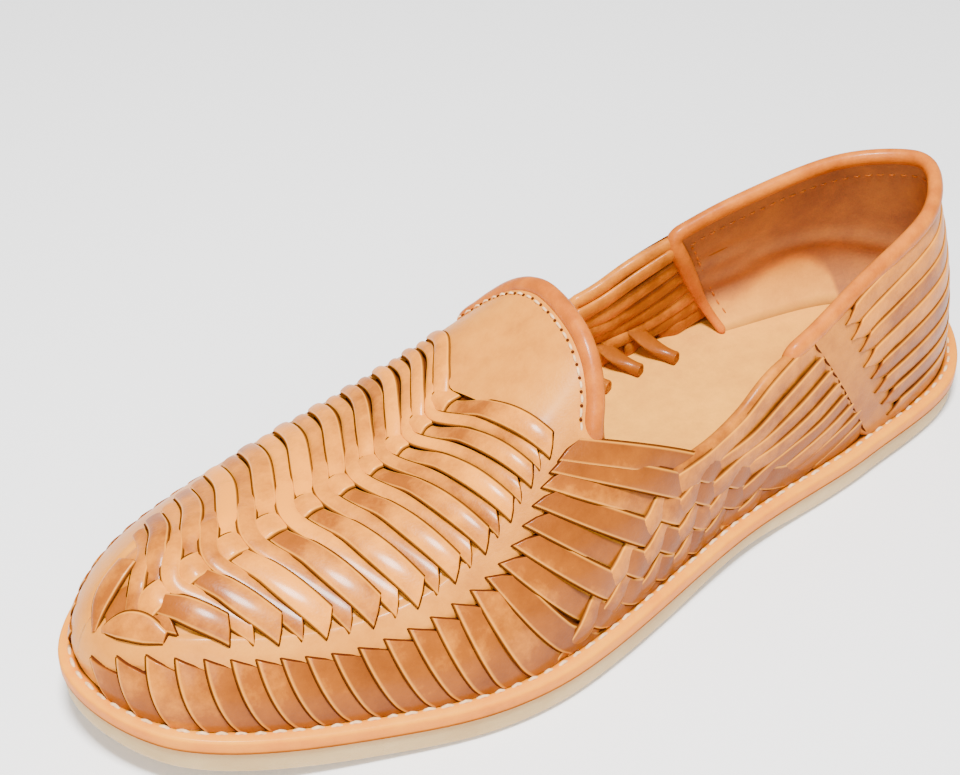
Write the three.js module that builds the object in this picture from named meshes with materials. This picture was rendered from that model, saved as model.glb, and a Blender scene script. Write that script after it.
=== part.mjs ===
// Huarache sandal, left foot: a woven leather upper with an apron, bound collar and tab, on a
// leather midsole and a crepe rubber outsole. Millimetres, +Z up, +X to the toe, +Y to the outer side.

import * as THREE from 'three';
import { mergeVertices } from 'three/addons/utils/BufferGeometryUtils.js';

// Driving sizes of the sole
const LENGTH = 295;
const OUTSOLE_THICK = 8.3;
const MIDSOLE_THICK = 4.5;
const INSOLE_THICK = 2.5;
const GAP = 0.3;
const LEDGE = 4.5;
const TOE_SPRING = 8;
const SPRING_START = 200;
const ARCH_RISE = 2.2;
const ARCH = { from: 82, to: 148 };
const OUTSOLE_INSET = 0.6;
const TREAD_ROUND = 2.4;
// Shares of the tread's round at its shoulder, and where the outsole's upright wall starts
const TREAD_SHOULDER = { inset: 0.3, rise: 0.7, wall: 0.6 };
const EDGE_ROUND = 0.8;
// Shares of the midsole's thickness between which its edge is upright
const EDGE_UPRIGHT = { from: 0.25, to: 0.8 };

// Driving sizes of the upper
const WALL = 1.6;
const STRIP_RISE = 1.1;
const STRIP_DIP = 0.15;
const RIDGE_RISE = 0.7;
const STRIP_COUNT = 24;
const STRIP_PITCH = 5.75;
const FIRST_STRIP = 3.5;
const STRIP_CUT = 0.04;
const WEAVE_FROM = 15;
const HEEL_STRIPS = 7;
const APRON_THICK = 1.4;
const PANEL_THICK = 1.3;
const BINDING_RADIUS = 2.6;
const RING_SIDES = 8;

// Leather edge of the sole, read in plan round the foot
const SOLE_OUTLINE = [
  { at: 'heel back', x: 0, y: 0 },
  { at: 'heel outer', x: 17.5, y: 27.3 },
  { at: 'seat outer', x: 62, y: 38.6 },
  { at: 'waist outer', x: 111, y: 43.8 },
  { at: 'ball outer', x: 190, y: 59.3 },
  { at: 'little toe', x: 231.5, y: 50.6 },
  { at: 'toe outer', x: 283.7, y: 25 },
  { at: 'toe tip', x: LENGTH, y: -7.7 },
  { at: 'big toe', x: 276.5, y: -33 },
  { at: 'ball inner', x: 220.5, y: -52.9 },
  { at: 'waist inner', x: 122, y: -41 },
  { at: 'seat inner', x: 62, y: -38 },
  { at: 'heel inner', x: 18, y: -26.5 },
];

// The ridge of the last in plan
const RIDGE = { heelX: 38, toeX: 253, heelY: 0, toeY: -5 };

// Sections of the last, from the heel (t = 0) to the toe (t = 1): height of the ridge over the
// feather line, and how full the side and the top of the section are
const LAST_SECTIONS = [
  { t: 0, height: 86, side: 1.8, top: 1.93 },
  { t: 0.25, height: 82, side: 1.8, top: 1.93 },
  { t: 0.45, height: 79, side: 1.8, top: 1.92 },
  { t: 0.6, height: 58, side: 1.82, top: 1.91 },
  { t: 0.72, height: 41.5, side: 1.85, top: 1.95 },
  { t: 0.85, height: 32.5, side: 1.92, top: 2.1 },
  { t: 1, height: 28, side: 2, top: 2.3 },
];

// Edges of the apron's band: run along the feather from the toe, and degrees up the section
const BAND_EDGES = [
  { run: 0, low: 10, high: 26 },
  { run: 4, low: 11.5, high: 26.8 },
  { run: 9, low: 16.5, high: 30.5 },
  { run: 20, low: 26.5, high: 35 },
  { run: 34, low: 30, high: 38 },
  { run: 52, low: 29.5, high: 37 },
  { run: 75, low: 28, high: 35.5 },
  { run: 95, low: 31.5, high: 38 },
  { run: 115, low: 37, high: 44 },
  { run: 141.5, low: 46, high: 53 },
  { run: 154, low: 42, high: 50 },
];

// Top line of the quarter and collar: run from the toe, and degrees up the section
const TOP_LINE = [
  { run: 154, up: 42 },
  { run: 161, up: 35.5 },
  { run: 171, up: 28 },
  { run: 188, up: 23.8 },
  { run: 206, up: 25 },
  { run: 218, up: 29 },
  { run: 236, up: 32.5 },
  { run: 250, up: 35.5 },
  { run: 280, up: 40 },
  { run: 328, up: 44.5 },
];

// The toe's middle line, as a place before the first strip
const TOE_STRIP = -0.6;

// Where each column of the wall starts on the feather, for the strip that it follows
const STRIP_FEET = [
  { strip: TOE_STRIP, foot: 0 },
  { strip: 0, foot: 9 },
  { strip: 7, foot: 54 },
  { strip: 15, foot: 104 },
  { strip: 18, foot: 138 },
  { strip: 21, foot: 178 },
  { strip: 24, foot: 219 },
];

// A run past the heel's back, where both sides end together
const HEEL_RUN = 340;

// Columns of the quarter and heel behind the last strip: run at the top line and at the feather
const BACK_COLUMNS = [
  { top: 161, foot: 229 },
  { top: 174, foot: 234 },
  { top: 190, foot: 240 },
  { top: 208, foot: 246 },
  { top: 227, foot: 252, name: 'collar front' },
  { top: 236, foot: 258, name: 'panel front' },
  { top: 243, foot: 264 },
  { top: 250, foot: 270, name: 'panel back' },
  { top: 260, foot: 278 },
  { top: 270, foot: 286 },
  { top: 280, foot: 294 },
  { top: 290, foot: 302 },
  { top: 300, foot: 309 },
  { top: 310, foot: 316 },
  { top: 319, foot: 322 },
  { top: HEEL_RUN, foot: HEEL_RUN, name: 'heel back' },
];

// The plug's strips meet the ridge ahead of where they leave the band
const RIDGE_LEAD = { from: 32, gain: 1.156 };
const THROAT_RUN = { band: 154, ridge: 164 };
const TAB_COLUMNS = 4;
const TAB_ROUND = 4;
const TAB_FOOT_SPREAD = 3;

// Rows up the wall
const SIDE_ROWS = 2 * HEEL_STRIPS;
const BAND_ROWS = 2;
const PLUG_FRACTIONS = [0.12, 0.3, 0.5, 0.7, 0.88, 1];
const INNER_STEP = 2;

const COLOURS = {
  crepe: 0xe9e2cf,
  edge: 0xc99a5b,
  lining: 0xe0bd8b,
  strips: 0xcf8a55,
  apron: 0xdba874,
  binding: 0xd9996c,
};

const ROUGHNESS = { crepe: 0.7, edge: 0.55, lining: 0.6, strips: 0.45, apron: 0.4, binding: 0.4 };

const SIDES = [1, -1];
const QUARTER_TURN = Math.PI / 2;
const WELD_WITHIN = 1e-3;
const ANGLE_TOLERANCE = 1e-6;

// Small helpers

function lerp(a, b, t) {
  return a + (b - a) * t;
}

// Smooth curve through one column of a short table
function readTable(table, key, column, at) {
  const last = table.length - 1;
  const x = THREE.MathUtils.clamp(at, table[0][key], table[last][key]);
  const slope = (i) => (table[i + 1][column] - table[i][column]) / (table[i + 1][key] - table[i][key]);
  const width = (i) => table[i + 1][key] - table[i][key];
  const tangent = (i) => {
    if (i === 0) return slope(0);
    if (i === last) return slope(last - 1);
    return (slope(i - 1) * width(i) + slope(i) * width(i - 1)) / (width(i) + width(i - 1));
  };
  let i = 0;
  while (i < last - 1 && x > table[i + 1][key]) i += 1;
  const h = width(i);
  const t = (x - table[i][key]) / h;
  const start = (2 * t ** 3 - 3 * t ** 2 + 1) * table[i][column] + (t ** 3 - 2 * t ** 2 + t) * h * tangent(i);
  const end = (-2 * t ** 3 + 3 * t ** 2) * table[i + 1][column] + (t ** 3 - t ** 2) * h * tangent(i + 1);
  return start + end;
}

// A triangle list that names its corners by position, so shared corners merge
class Skin {
  constructor() {
    this.positions = [];
  }

  triangle(a, b, c) {
    for (const p of [a, b, c]) this.positions.push(p.x, p.y, p.z);
  }

  quad(a, b, c, d) {
    this.triangle(a, b, c);
    this.triangle(a, c, d);
  }

  // Joins a fine chain to a coarse one whose corners stand beside every step-th fine corner
  bridge(fine, coarse, step) {
    for (let i = 0; i + 1 < coarse.length; i += 1) {
      const first = i * step;
      const last = Math.min(first + step, fine.length - 1);
      const middle = Math.floor((first + last) / 2);
      for (let j = first; j < middle; j += 1) this.triangle(coarse[i], fine[j], fine[j + 1]);
      this.triangle(coarse[i], fine[middle], coarse[i + 1]);
      for (let j = middle; j < last; j += 1) this.triangle(coarse[i + 1], fine[j], fine[j + 1]);
    }
  }

  // Merges shared corners, drops collapsed triangles and turns the faces outward
  geometry() {
    const raw = new THREE.BufferGeometry();
    raw.setAttribute('position', new THREE.Float32BufferAttribute(this.positions, 3));
    const merged = mergeVertices(raw, WELD_WITHIN);
    const index = merged.index.array;
    const kept = [];
    for (let i = 0; i < index.length; i += 3) {
      const [a, b, c] = [index[i], index[i + 1], index[i + 2]];
      if (a !== b && b !== c && c !== a) kept.push(a, b, c);
    }
    if (signedVolume(merged.attributes.position, kept) < 0) kept.reverse();
    merged.setIndex(kept);
    merged.computeVertexNormals();
    return merged;
  }
}

function signedVolume(position, index) {
  const corner = (i) => new THREE.Vector3().fromBufferAttribute(position, index[i]);
  let volume = 0;
  for (let i = 0; i < index.length; i += 3) {
    volume += corner(i).dot(corner(i + 1).cross(corner(i + 2))) / 6;
  }
  return volume;
}

// The sole's outline

const OUTLINE_SAMPLES = 720;

function outlinePoints(inset) {
  const corners = SOLE_OUTLINE.map((row) => new THREE.Vector3(row.x, row.y, 0));
  const curve = new THREE.CatmullRomCurve3(corners, true, 'centripetal');
  const points = [];
  for (let i = 0; i < OUTLINE_SAMPLES; i += 1) {
    const u = i / OUTLINE_SAMPLES;
    const tangent = curve.getTangent(u);
    const inward = new THREE.Vector3(tangent.y, -tangent.x, 0).normalize();
    points.push(curve.getPoint(u).addScaledVector(inward, inset));
  }
  return points;
}

// A closed outline read by v: 0 at the toe, +1 at the heel by the outer side, -1 by the inner side.
// Two points with opposite v stand across the foot from each other, at the same x.
class Loop {
  constructor(inset) {
    const points = outlinePoints(inset);
    const n = points.length;
    const furthest = (sign) => points.reduce((best, p, i) => (sign * p.x > sign * points[best].x ? i : best), 0);
    const toe = furthest(1);
    const heel = furthest(-1);
    const chain = (side) => {
      const count = (side * (toe - heel) + n) % n;
      return Array.from({ length: count + 1 }, (_, i) => points[(toe - side * i + 2 * n) % n]);
    };
    this.outer = chain(1);
    this.inner = chain(-1);
    this.runs = [0];
    for (let i = 1; i < this.outer.length; i += 1) {
      this.runs.push(this.runs[i - 1] + this.outer[i].distanceTo(this.outer[i - 1]));
    }
  }

  get outerRun() {
    return this.runs[this.runs.length - 1];
  }

  at(v) {
    let wrapped = v;
    if (v > 1) wrapped = v - 2;
    if (v < -1) wrapped = v + 2;
    const run = Math.min(Math.abs(wrapped), 1) * this.outerRun;
    const outer = pointAlong(this.outer, this.runs, run);
    if (wrapped >= 0) return outer;
    return pointAlong(this.inner, this.inner.map((p) => -p.x), -outer.x);
  }
}

// Point of a chain where its rising measure reaches a value
function pointAlong(chain, measure, value) {
  let low = 0;
  let high = chain.length - 1;
  while (high - low > 1) {
    const middle = (low + high) >> 1;
    if (measure[middle] <= value) low = middle;
    else high = middle;
  }
  const t = (value - measure[low]) / (measure[high] - measure[low]);
  return chain[low].clone().lerp(chain[high], t);
}

const FEATHER = new Loop(LEDGE);
const FULL_RUN = FEATHER.outerRun;

function springAt(x) {
  const past = Math.max(0, x - SPRING_START) / (LENGTH - SPRING_START);
  return TOE_SPRING * past ** 2;
}

function archAt(x) {
  const t = (x - ARCH.from) / (ARCH.to - ARCH.from);
  if (t <= 0 || t >= 1) return 0;
  return ARCH_RISE * Math.sin(Math.PI * t) ** 2;
}

const MIDSOLE_BASE = OUTSOLE_THICK + GAP;
const MIDSOLE_TOP = MIDSOLE_BASE + MIDSOLE_THICK;
const FEATHER_BASE = MIDSOLE_TOP + GAP;

// The last

// Point of the last: v round the feather, phi up the section to the ridge
function lastPoint(v, phi) {
  const foot = FEATHER.at(v);
  const t = THREE.MathUtils.clamp(foot.x / LENGTH, 0, 1);
  const height = readTable(LAST_SECTIONS, 't', 'height', t);
  const reach = Math.max(0, Math.cos(phi)) ** (2 / readTable(LAST_SECTIONS, 't', 'side', t));
  const rise = Math.max(0, Math.sin(phi)) ** (2 / readTable(LAST_SECTIONS, 't', 'top', t));
  const x = lerp(lerp(RIDGE.heelX, RIDGE.toeX, t), foot.x, reach);
  const y = lerp(lerp(RIDGE.heelY, RIDGE.toeY, t), foot.y, reach);
  return new THREE.Vector3(x, y, FEATHER_BASE + springAt(foot.x) + height * rise);
}

const NORMAL_STEP = { v: 0.004, phi: 0.01 };
const NORMAL_TOP = THREE.MathUtils.degToRad(86);

function sideNormal(v, phi) {
  const up = Math.min(phi, NORMAL_TOP);
  const along = lastPoint(v + NORMAL_STEP.v, up).sub(lastPoint(v - NORMAL_STEP.v, up));
  const rising = lastPoint(v, up + NORMAL_STEP.phi).sub(lastPoint(v, Math.max(0, up - NORMAL_STEP.phi)));
  return along.cross(rising).normalize();
}

// Outward direction, the same from both sides where they meet on the ridge
function lastNormal(v, phi) {
  const normal = sideNormal(v, phi);
  if (phi < QUARTER_TURN - ANGLE_TOLERANCE) return normal;
  return normal.add(sideNormal(-v, phi)).normalize();
}

// Columns and rows of the wall

// Columns follow the strips: two to a strip, then the tab, the quarter, the panel and the heel
function wallColumns() {
  const columns = [{ strip: TOE_STRIP, band: 0, ridge: 0 }];
  for (let k = 0; k < STRIP_COUNT; k += 1) {
    for (const cut of [STRIP_CUT, 1 - STRIP_CUT]) {
      const band = FIRST_STRIP + STRIP_PITCH * (k + cut);
      const ridge = RIDGE_LEAD.gain * Math.max(0, band - RIDGE_LEAD.from);
      columns.push({ strip: k + cut, index: k, leading: cut < 0.5, band, ridge });
    }
  }
  const front = columns[columns.length - 1];
  for (let i = 1; i <= TAB_COLUMNS; i += 1) {
    const t = i / TAB_COLUMNS;
    const band = lerp(front.band, THROAT_RUN.band, t);
    const ridge = lerp(front.ridge, THROAT_RUN.ridge, t);
    columns.push({ strip: STRIP_COUNT, tab: true, band, ridge, spread: t });
  }
  for (const row of BACK_COLUMNS) columns.push({ back: true, ...row });
  for (const column of columns) {
    if (column.back) continue;
    const spread = TAB_FOOT_SPREAD * (column.spread ?? 0);
    column.foot = readTable(STRIP_FEET, 'strip', 'foot', column.strip) + spread;
  }
  return columns;
}

const COLUMNS = wallColumns();
const THROAT = COLUMNS.findIndex((column) => column.spread === 1);
const columnNamed = (name) => COLUMNS.findIndex((column) => column.name === name);
const PANEL = [columnNamed('panel front'), columnNamed('panel back')];
const COLLAR_FRONT = columnNamed('collar front');
const TAB_FRONT = COLUMNS.findIndex((column) => column.tab);
const BAND_TOP = SIDE_ROWS + BAND_ROWS;
const RIDGE_ROW = BAND_TOP + PLUG_FRACTIONS.length;
const FOOT_EASE = 0.8;

// Run along the feather and angle up the section, at a column and row
function wallPlace(column, row) {
  const up = Math.min(row / SIDE_ROWS, 1);
  if (column.back) {
    const run = lerp(column.foot, column.top, up ** FOOT_EASE);
    return { run, up: up * readTable(TOP_LINE, 'run', 'up', column.top) };
  }
  const low = readTable(BAND_EDGES, 'run', 'low', column.band);
  const high = readTable(BAND_EDGES, 'run', 'high', column.band);
  if (row <= SIDE_ROWS) return { run: lerp(column.foot, column.band, up ** FOOT_EASE), up: up * low };
  if (row <= BAND_TOP) return { run: column.band, up: lerp(low, high, (row - SIDE_ROWS) / BAND_ROWS) };
  const across = PLUG_FRACTIONS[row - BAND_TOP - 1];
  const ease = 1 - (1 - across) ** lerp(1, TAB_ROUND, column.spread ?? 0);
  return { run: lerp(column.band, column.ridge, ease), up: lerp(high, 90, across) };
}

// Point of the wall, lifted off the last by an offset
function wallPoint(side, c, row, offset) {
  const { run, up } = wallPlace(COLUMNS[c], row);
  const v = side * Math.min(run / FULL_RUN, 1);
  const phi = up >= 90 ? QUARTER_TURN : THREE.MathUtils.degToRad(up);
  return lastPoint(v, phi).addScaledVector(lastNormal(v, phi), offset);
}

// How far a strip stands off the wall at a column and row
function stripRelief(c, row) {
  const column = COLUMNS[c];
  const underPanel = c >= PANEL[0] && c <= PANEL[1];
  const underBand = !column.back && row >= SIDE_ROWS && row <= BAND_TOP;
  const raised = (up) => (up ? STRIP_RISE : STRIP_DIP);
  if (row === 0 || underPanel || underBand || column.tab) return 0;
  if (row === RIDGE_ROW) return RIDGE_RISE;
  if (column.strip < 0) return 0;
  if (column.back) return row === SIDE_ROWS ? 0 : raised(row % 2 === 1);
  if (row < SIDE_ROWS) {
    if (column.index < WEAVE_FROM) return raised(column.leading);
    return raised((column.index + Math.floor(row / 2)) % 2 === 0);
  }
  const across = PLUG_FRACTIONS[row - BAND_TOP - 1];
  const overBand = column.index % 2 === 0;
  return lerp(STRIP_DIP, STRIP_RISE, overBand ? 1 - across : across);
}

// Pieces of the sole

const SOLE_STATIONS = 32;

function soleStation(i) {
  return (1 - Math.cos((Math.PI * i) / SOLE_STATIONS)) / 2;
}

// A slab lofted through levels from the bottom up, each an inset of the outline at a height over x
function makeSlab(levels) {
  const rings = levels.map(({ inset, height }) => {
    const loop = new Loop(inset);
    const corner = (v) => {
      const p = loop.at(v);
      return new THREE.Vector3(p.x, p.y, height(p.x));
    };
    return new Map(SIDES.map((side) => [
      side,
      Array.from({ length: SOLE_STATIONS + 1 }, (_, i) => corner(side * soleStation(i))),
    ]));
  });
  const skin = new Skin();
  const cover = (ring, flip) => {
    const [outer, inner] = SIDES.map((side) => ring.get(side));
    for (let i = 0; i < SOLE_STATIONS; i += 1) {
      if (flip) skin.quad(outer[i], inner[i], inner[i + 1], outer[i + 1]);
      else skin.quad(outer[i], outer[i + 1], inner[i + 1], inner[i]);
    }
  };
  cover(rings[0], true);
  cover(rings[rings.length - 1], false);
  for (let level = 0; level + 1 < rings.length; level += 1) {
    for (const side of SIDES) {
      const low = rings[level].get(side);
      const high = rings[level + 1].get(side);
      for (let i = 0; i < SOLE_STATIONS; i += 1) {
        if (side > 0) skin.quad(low[i], low[i + 1], high[i + 1], high[i]);
        else skin.quad(low[i], high[i], high[i + 1], low[i + 1]);
      }
    }
  }
  return skin.geometry();
}

function outsoleGeometry() {
  const bottom = (x) => springAt(x) + archAt(x);
  const top = (x) => OUTSOLE_THICK + springAt(x);
  return makeSlab([
    { inset: OUTSOLE_INSET + TREAD_ROUND, height: bottom },
    {
      inset: OUTSOLE_INSET + TREAD_SHOULDER.inset * TREAD_ROUND,
      height: (x) => bottom(x) + TREAD_SHOULDER.rise * TREAD_ROUND,
    },
    { inset: OUTSOLE_INSET, height: (x) => lerp(bottom(x), top(x), TREAD_SHOULDER.wall) },
    { inset: OUTSOLE_INSET, height: top },
  ]);
}

function midsoleGeometry() {
  const level = (rise) => (x) => MIDSOLE_BASE + rise + springAt(x);
  return makeSlab([
    { inset: EDGE_ROUND / 2, height: level(0) },
    { inset: 0, height: level(EDGE_UPRIGHT.from * MIDSOLE_THICK) },
    { inset: 0, height: level(EDGE_UPRIGHT.to * MIDSOLE_THICK) },
    { inset: EDGE_ROUND, height: level(MIDSOLE_THICK) },
  ]);
}

const INSOLE_CLEARANCE = 1.3;

function insoleGeometry() {
  const inset = LEDGE + WALL + INSOLE_CLEARANCE;
  const level = (rise) => (x) => FEATHER_BASE + rise + springAt(x);
  return makeSlab([
    { inset, height: level(0) },
    { inset, height: level(INSOLE_THICK - EDGE_ROUND) },
    { inset: inset + EDGE_ROUND, height: level(INSOLE_THICK) },
  ]);
}

// The woven upper: one hollow wall, open at the collar, the throat and underneath

function topRow(c) {
  return COLUMNS[c].back ? SIDE_ROWS : RIDGE_ROW;
}

function upperGeometry() {
  const skin = new Skin();
  const last = COLUMNS.length - 1;
  for (const side of SIDES) {
    const outer = COLUMNS.map((_, c) => Array.from(
      { length: topRow(c) + 1 },
      (__, row) => wallPoint(side, c, row, stripRelief(c, row)),
    ));
    const innerRows = (c) => {
      const rows = [];
      for (let row = 0; row <= topRow(c); row += INNER_STEP) rows.push(row);
      return rows;
    };
    const inner = COLUMNS.map((_, c) => innerRows(c).map((row) => wallPoint(side, c, row, -WALL)));
    const face = (a, b, c, d) => (side > 0 ? skin.quad(a, b, c, d) : skin.quad(a, d, c, b));
    for (let c = 0; c < last; c += 1) {
      const rows = Math.min(topRow(c), topRow(c + 1));
      for (let row = 0; row < rows; row += 1) {
        face(outer[c][row], outer[c + 1][row], outer[c + 1][row + 1], outer[c][row + 1]);
      }
    }
    for (let c = 0; c < last; c += INNER_STEP) {
      const next = c + INNER_STEP;
      const rows = Math.min(inner[c].length, inner[next].length) - 1;
      for (let row = 0; row < rows; row += 1) {
        face(inner[c][row], inner[c][row + 1], inner[next][row + 1], inner[next][row]);
      }
    }
    joinRims(skin, side, outer, inner);
  }
  return skin.geometry();
}

// Closes the wall's edges at the feather, the top line and the throat
function joinRims(skin, side, outer, inner) {
  const coarse = (chain) => chain.filter((_, i) => i % INNER_STEP === 0);
  const strip = (fine, thin, flip) => {
    const rim = new Skin();
    rim.bridge(fine, thin, INNER_STEP);
    for (let i = 0; i < rim.positions.length; i += 9) {
      const corners = [0, 3, 6].map((k) => new THREE.Vector3().fromArray(rim.positions, i + k));
      if (flip === side > 0) corners.reverse();
      skin.triangle(...corners);
    }
  };
  strip(outer.map((column) => column[0]), coarse(inner).map((column) => column[0]), true);
  const topIndex = SIDE_ROWS / INNER_STEP;
  strip(
    outer.slice(THROAT).map((column) => column[SIDE_ROWS]),
    coarse(inner.slice(THROAT)).map((column) => column[topIndex]),
    false,
  );
  strip(outer[THROAT].slice(SIDE_ROWS), inner[THROAT].slice(topIndex), true);
}

// Overlays that lie on the wall

// A patch of the wall's columns and rows, lifted clear of the wall and given a thickness.
// covers(c, row) says which of the wall's quads it takes.
function overlayGeometry(sides, columns, rows, covers, thick) {
  const skin = new Skin();
  const level = [GAP, GAP + thick];
  for (const side of sides) {
    const at = (c, row, k) => wallPoint(side, c, row, level[k]);
    const face = (...corners) => skin.quad(...(side > 0 ? corners : corners.reverse()));
    for (let c = columns[0]; c < columns[1]; c += 1) {
      for (let row = rows[0]; row < rows[1]; row += 1) {
        if (!covers(c, row)) continue;
        const [a, b, d, e] = [[c, row], [c + 1, row], [c + 1, row + 1], [c, row + 1]];
        face(at(...a, 1), at(...b, 1), at(...d, 1), at(...e, 1));
        face(at(...a, 0), at(...e, 0), at(...d, 0), at(...b, 0));
        const ridge = row + 1 === RIDGE_ROW;
        const toe = c === 0 && sides.length === 2;
        if (!covers(c, row - 1)) face(at(...a, 0), at(...b, 0), at(...b, 1), at(...a, 1));
        if (!ridge && !covers(c, row + 1)) face(at(...d, 0), at(...e, 0), at(...e, 1), at(...d, 1));
        if (!toe && !covers(c - 1, row)) face(at(...e, 0), at(...a, 0), at(...a, 1), at(...e, 1));
        if (!covers(c + 1, row)) face(at(...b, 0), at(...d, 0), at(...d, 1), at(...b, 1));
      }
    }
  }
  return skin.geometry();
}

function apronGeometry() {
  const covers = (c, row) => {
    if (c < 0 || c >= THROAT || row < SIDE_ROWS || row >= RIDGE_ROW) return false;
    return row < BAND_TOP || c >= TAB_FRONT;
  };
  return overlayGeometry(SIDES, [0, THROAT], [SIDE_ROWS, RIDGE_ROW], covers, APRON_THICK);
}

function heelPanelGeometry(side) {
  const covers = (c, row) => c >= PANEL[0] && c < PANEL[1] && row >= 0 && row < SIDE_ROWS;
  return overlayGeometry([side], PANEL, [0, SIDE_ROWS], covers, PANEL_THICK);
}

// A round rolled binding along a chain of frames, each a centre with two directions across it
function rolledBinding(frames) {
  const skin = new Skin();
  const rings = frames.map(({ centre, outward, away }) => Array.from({ length: RING_SIDES }, (_, i) => {
    const turn = (2 * Math.PI * i) / RING_SIDES;
    return centre.clone()
      .addScaledVector(outward, BINDING_RADIUS * Math.cos(turn))
      .addScaledVector(away, BINDING_RADIUS * Math.sin(turn));
  }));
  const next = (i) => (i + 1) % RING_SIDES;
  for (let k = 0; k + 1 < rings.length; k += 1) {
    for (let i = 0; i < RING_SIDES; i += 1) {
      skin.quad(rings[k][i], rings[k][next(i)], rings[k + 1][next(i)], rings[k + 1][i]);
    }
  }
  const cap = (ring, centre, flip) => {
    for (let i = 0; i < RING_SIDES; i += 1) {
      if (flip) skin.triangle(centre, ring[next(i)], ring[i]);
      else skin.triangle(centre, ring[i], ring[next(i)]);
    }
  };
  cap(rings[0], frames[0].centre, true);
  cap(rings[rings.length - 1], frames[frames.length - 1].centre, false);
  return skin.geometry();
}

// Frames just past an edge of the wall, from its points and outward directions in order
function edgeFrames(edge, clearance) {
  return edge.map(({ point, normal, inside }, i) => {
    const before = edge[Math.max(0, i - 1)].point;
    const after = edge[Math.min(edge.length - 1, i + 1)].point;
    const along = after.clone().sub(before).normalize();
    const away = along.clone().cross(normal).normalize();
    if (away.dot(inside.clone().sub(point)) > 0) away.negate();
    const outward = away.clone().cross(along).normalize();
    if (outward.dot(normal) < 0) outward.negate();
    const centre = point.clone().addScaledVector(away, BINDING_RADIUS + clearance);
    return { centre, outward, away: outward.clone().cross(along) };
  });
}

const BINDING_CLEARANCE = 0.45;

function edgeStop(side, c, row, insideC, insideRow) {
  const { run, up } = wallPlace(COLUMNS[c], row);
  const phi = up >= 90 ? QUARTER_TURN : THREE.MathUtils.degToRad(up);
  return {
    point: wallPoint(side, c, row, 0),
    normal: lastNormal(side * Math.min(run / FULL_RUN, 1), phi),
    inside: wallPoint(side, insideC, insideRow, 0),
  };
}

function tabBindingGeometry() {
  const rows = Array.from({ length: RIDGE_ROW - SIDE_ROWS + 1 }, (_, i) => SIDE_ROWS + i);
  const stops = (side) => rows.map((row) => edgeStop(side, THROAT, row, THROAT - 1, row));
  const outer = stops(1);
  const inner = stops(-1).reverse();
  return rolledBinding(edgeFrames([...outer, ...inner.slice(1)], BINDING_CLEARANCE));
}

function collarBindingGeometry() {
  const columns = COLUMNS.map((_, c) => c).slice(COLLAR_FRONT);
  const stops = (side) => columns.map((c) => edgeStop(side, c, SIDE_ROWS, c, SIDE_ROWS - 1));
  const outer = stops(1);
  const inner = stops(-1).reverse();
  return rolledBinding(edgeFrames([...outer, ...inner.slice(1)], BINDING_CLEARANCE));
}

// The assembly

function materialOf(kind) {
  return new THREE.MeshStandardMaterial({ color: COLOURS[kind], roughness: ROUGHNESS[kind], metalness: 0 });
}

function makePiece(name, geometry, kind) {
  const mesh = new THREE.Mesh(geometry, materialOf(kind));
  mesh.name = name;
  return mesh;
}

function makeSandal() {
  const sandal = new THREE.Group();
  sandal.add(
    makePiece('outsole', outsoleGeometry(), 'crepe'),
    makePiece('midsole', midsoleGeometry(), 'edge'),
    makePiece('insole', insoleGeometry(), 'lining'),
    makePiece('upper', upperGeometry(), 'strips'),
    makePiece('apron', apronGeometry(), 'apron'),
    makePiece('heel_panel_outer', heelPanelGeometry(1), 'apron'),
    makePiece('heel_panel_inner', heelPanelGeometry(-1), 'apron'),
    makePiece('tab_binding', tabBindingGeometry(), 'binding'),
    makePiece('collar_binding', collarBindingGeometry(), 'binding'),
  );
  // The origin is under the middle of the sole
  const box = new THREE.Box3().setFromObject(sandal);
  const middle = box.getCenter(new THREE.Vector3());
  sandal.position.set(-middle.x, -middle.y, 0);
  const root = new THREE.Group();
  root.add(sandal);
  return root;
}

export default makeSandal();
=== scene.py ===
"""Looks of a left huarache sandal: leather strips woven on a last, over a leather and crepe sole."""

import math

import bmesh
import bpy
import numpy as np
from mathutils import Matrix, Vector


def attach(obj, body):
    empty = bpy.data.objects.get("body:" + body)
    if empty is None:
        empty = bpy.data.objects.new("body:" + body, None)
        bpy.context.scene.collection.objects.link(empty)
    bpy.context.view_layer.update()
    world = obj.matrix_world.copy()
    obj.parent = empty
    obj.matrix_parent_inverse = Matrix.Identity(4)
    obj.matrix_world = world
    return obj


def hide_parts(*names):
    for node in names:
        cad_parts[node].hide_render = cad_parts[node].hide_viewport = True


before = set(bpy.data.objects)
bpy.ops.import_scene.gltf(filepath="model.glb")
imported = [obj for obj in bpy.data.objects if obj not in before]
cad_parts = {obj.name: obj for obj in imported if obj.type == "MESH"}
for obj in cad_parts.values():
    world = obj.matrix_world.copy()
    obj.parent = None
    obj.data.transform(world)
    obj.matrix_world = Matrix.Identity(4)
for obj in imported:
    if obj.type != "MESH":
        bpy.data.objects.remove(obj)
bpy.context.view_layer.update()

# Sizes are in millimetres in the last's own coordinates: x from the heel's back to the toe, y to the outer
# side, z up from the floor. ORIGIN is where the row's frame starts in them. Tones and shares run from 0 to 1.
ORIGIN = np.array([147.634, 2.973, 0.0])
MM = 0.001

# The sole
LENGTH = 295.0
OUTSOLE_THICK = 8.3
MIDSOLE_THICK = 4.5
INSOLE_THICK = 2.5
GAP = 0.3
LEDGE = 4.5
TOE_SPRING = 8.0
SPRING_START = 200.0
ARCH_RISE = 2.2
ARCH = (82.0, 148.0)
MIDSOLE_BASE = OUTSOLE_THICK + GAP
MIDSOLE_TOP = MIDSOLE_BASE + MIDSOLE_THICK
FEATHER_BASE = MIDSOLE_TOP + GAP

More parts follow.
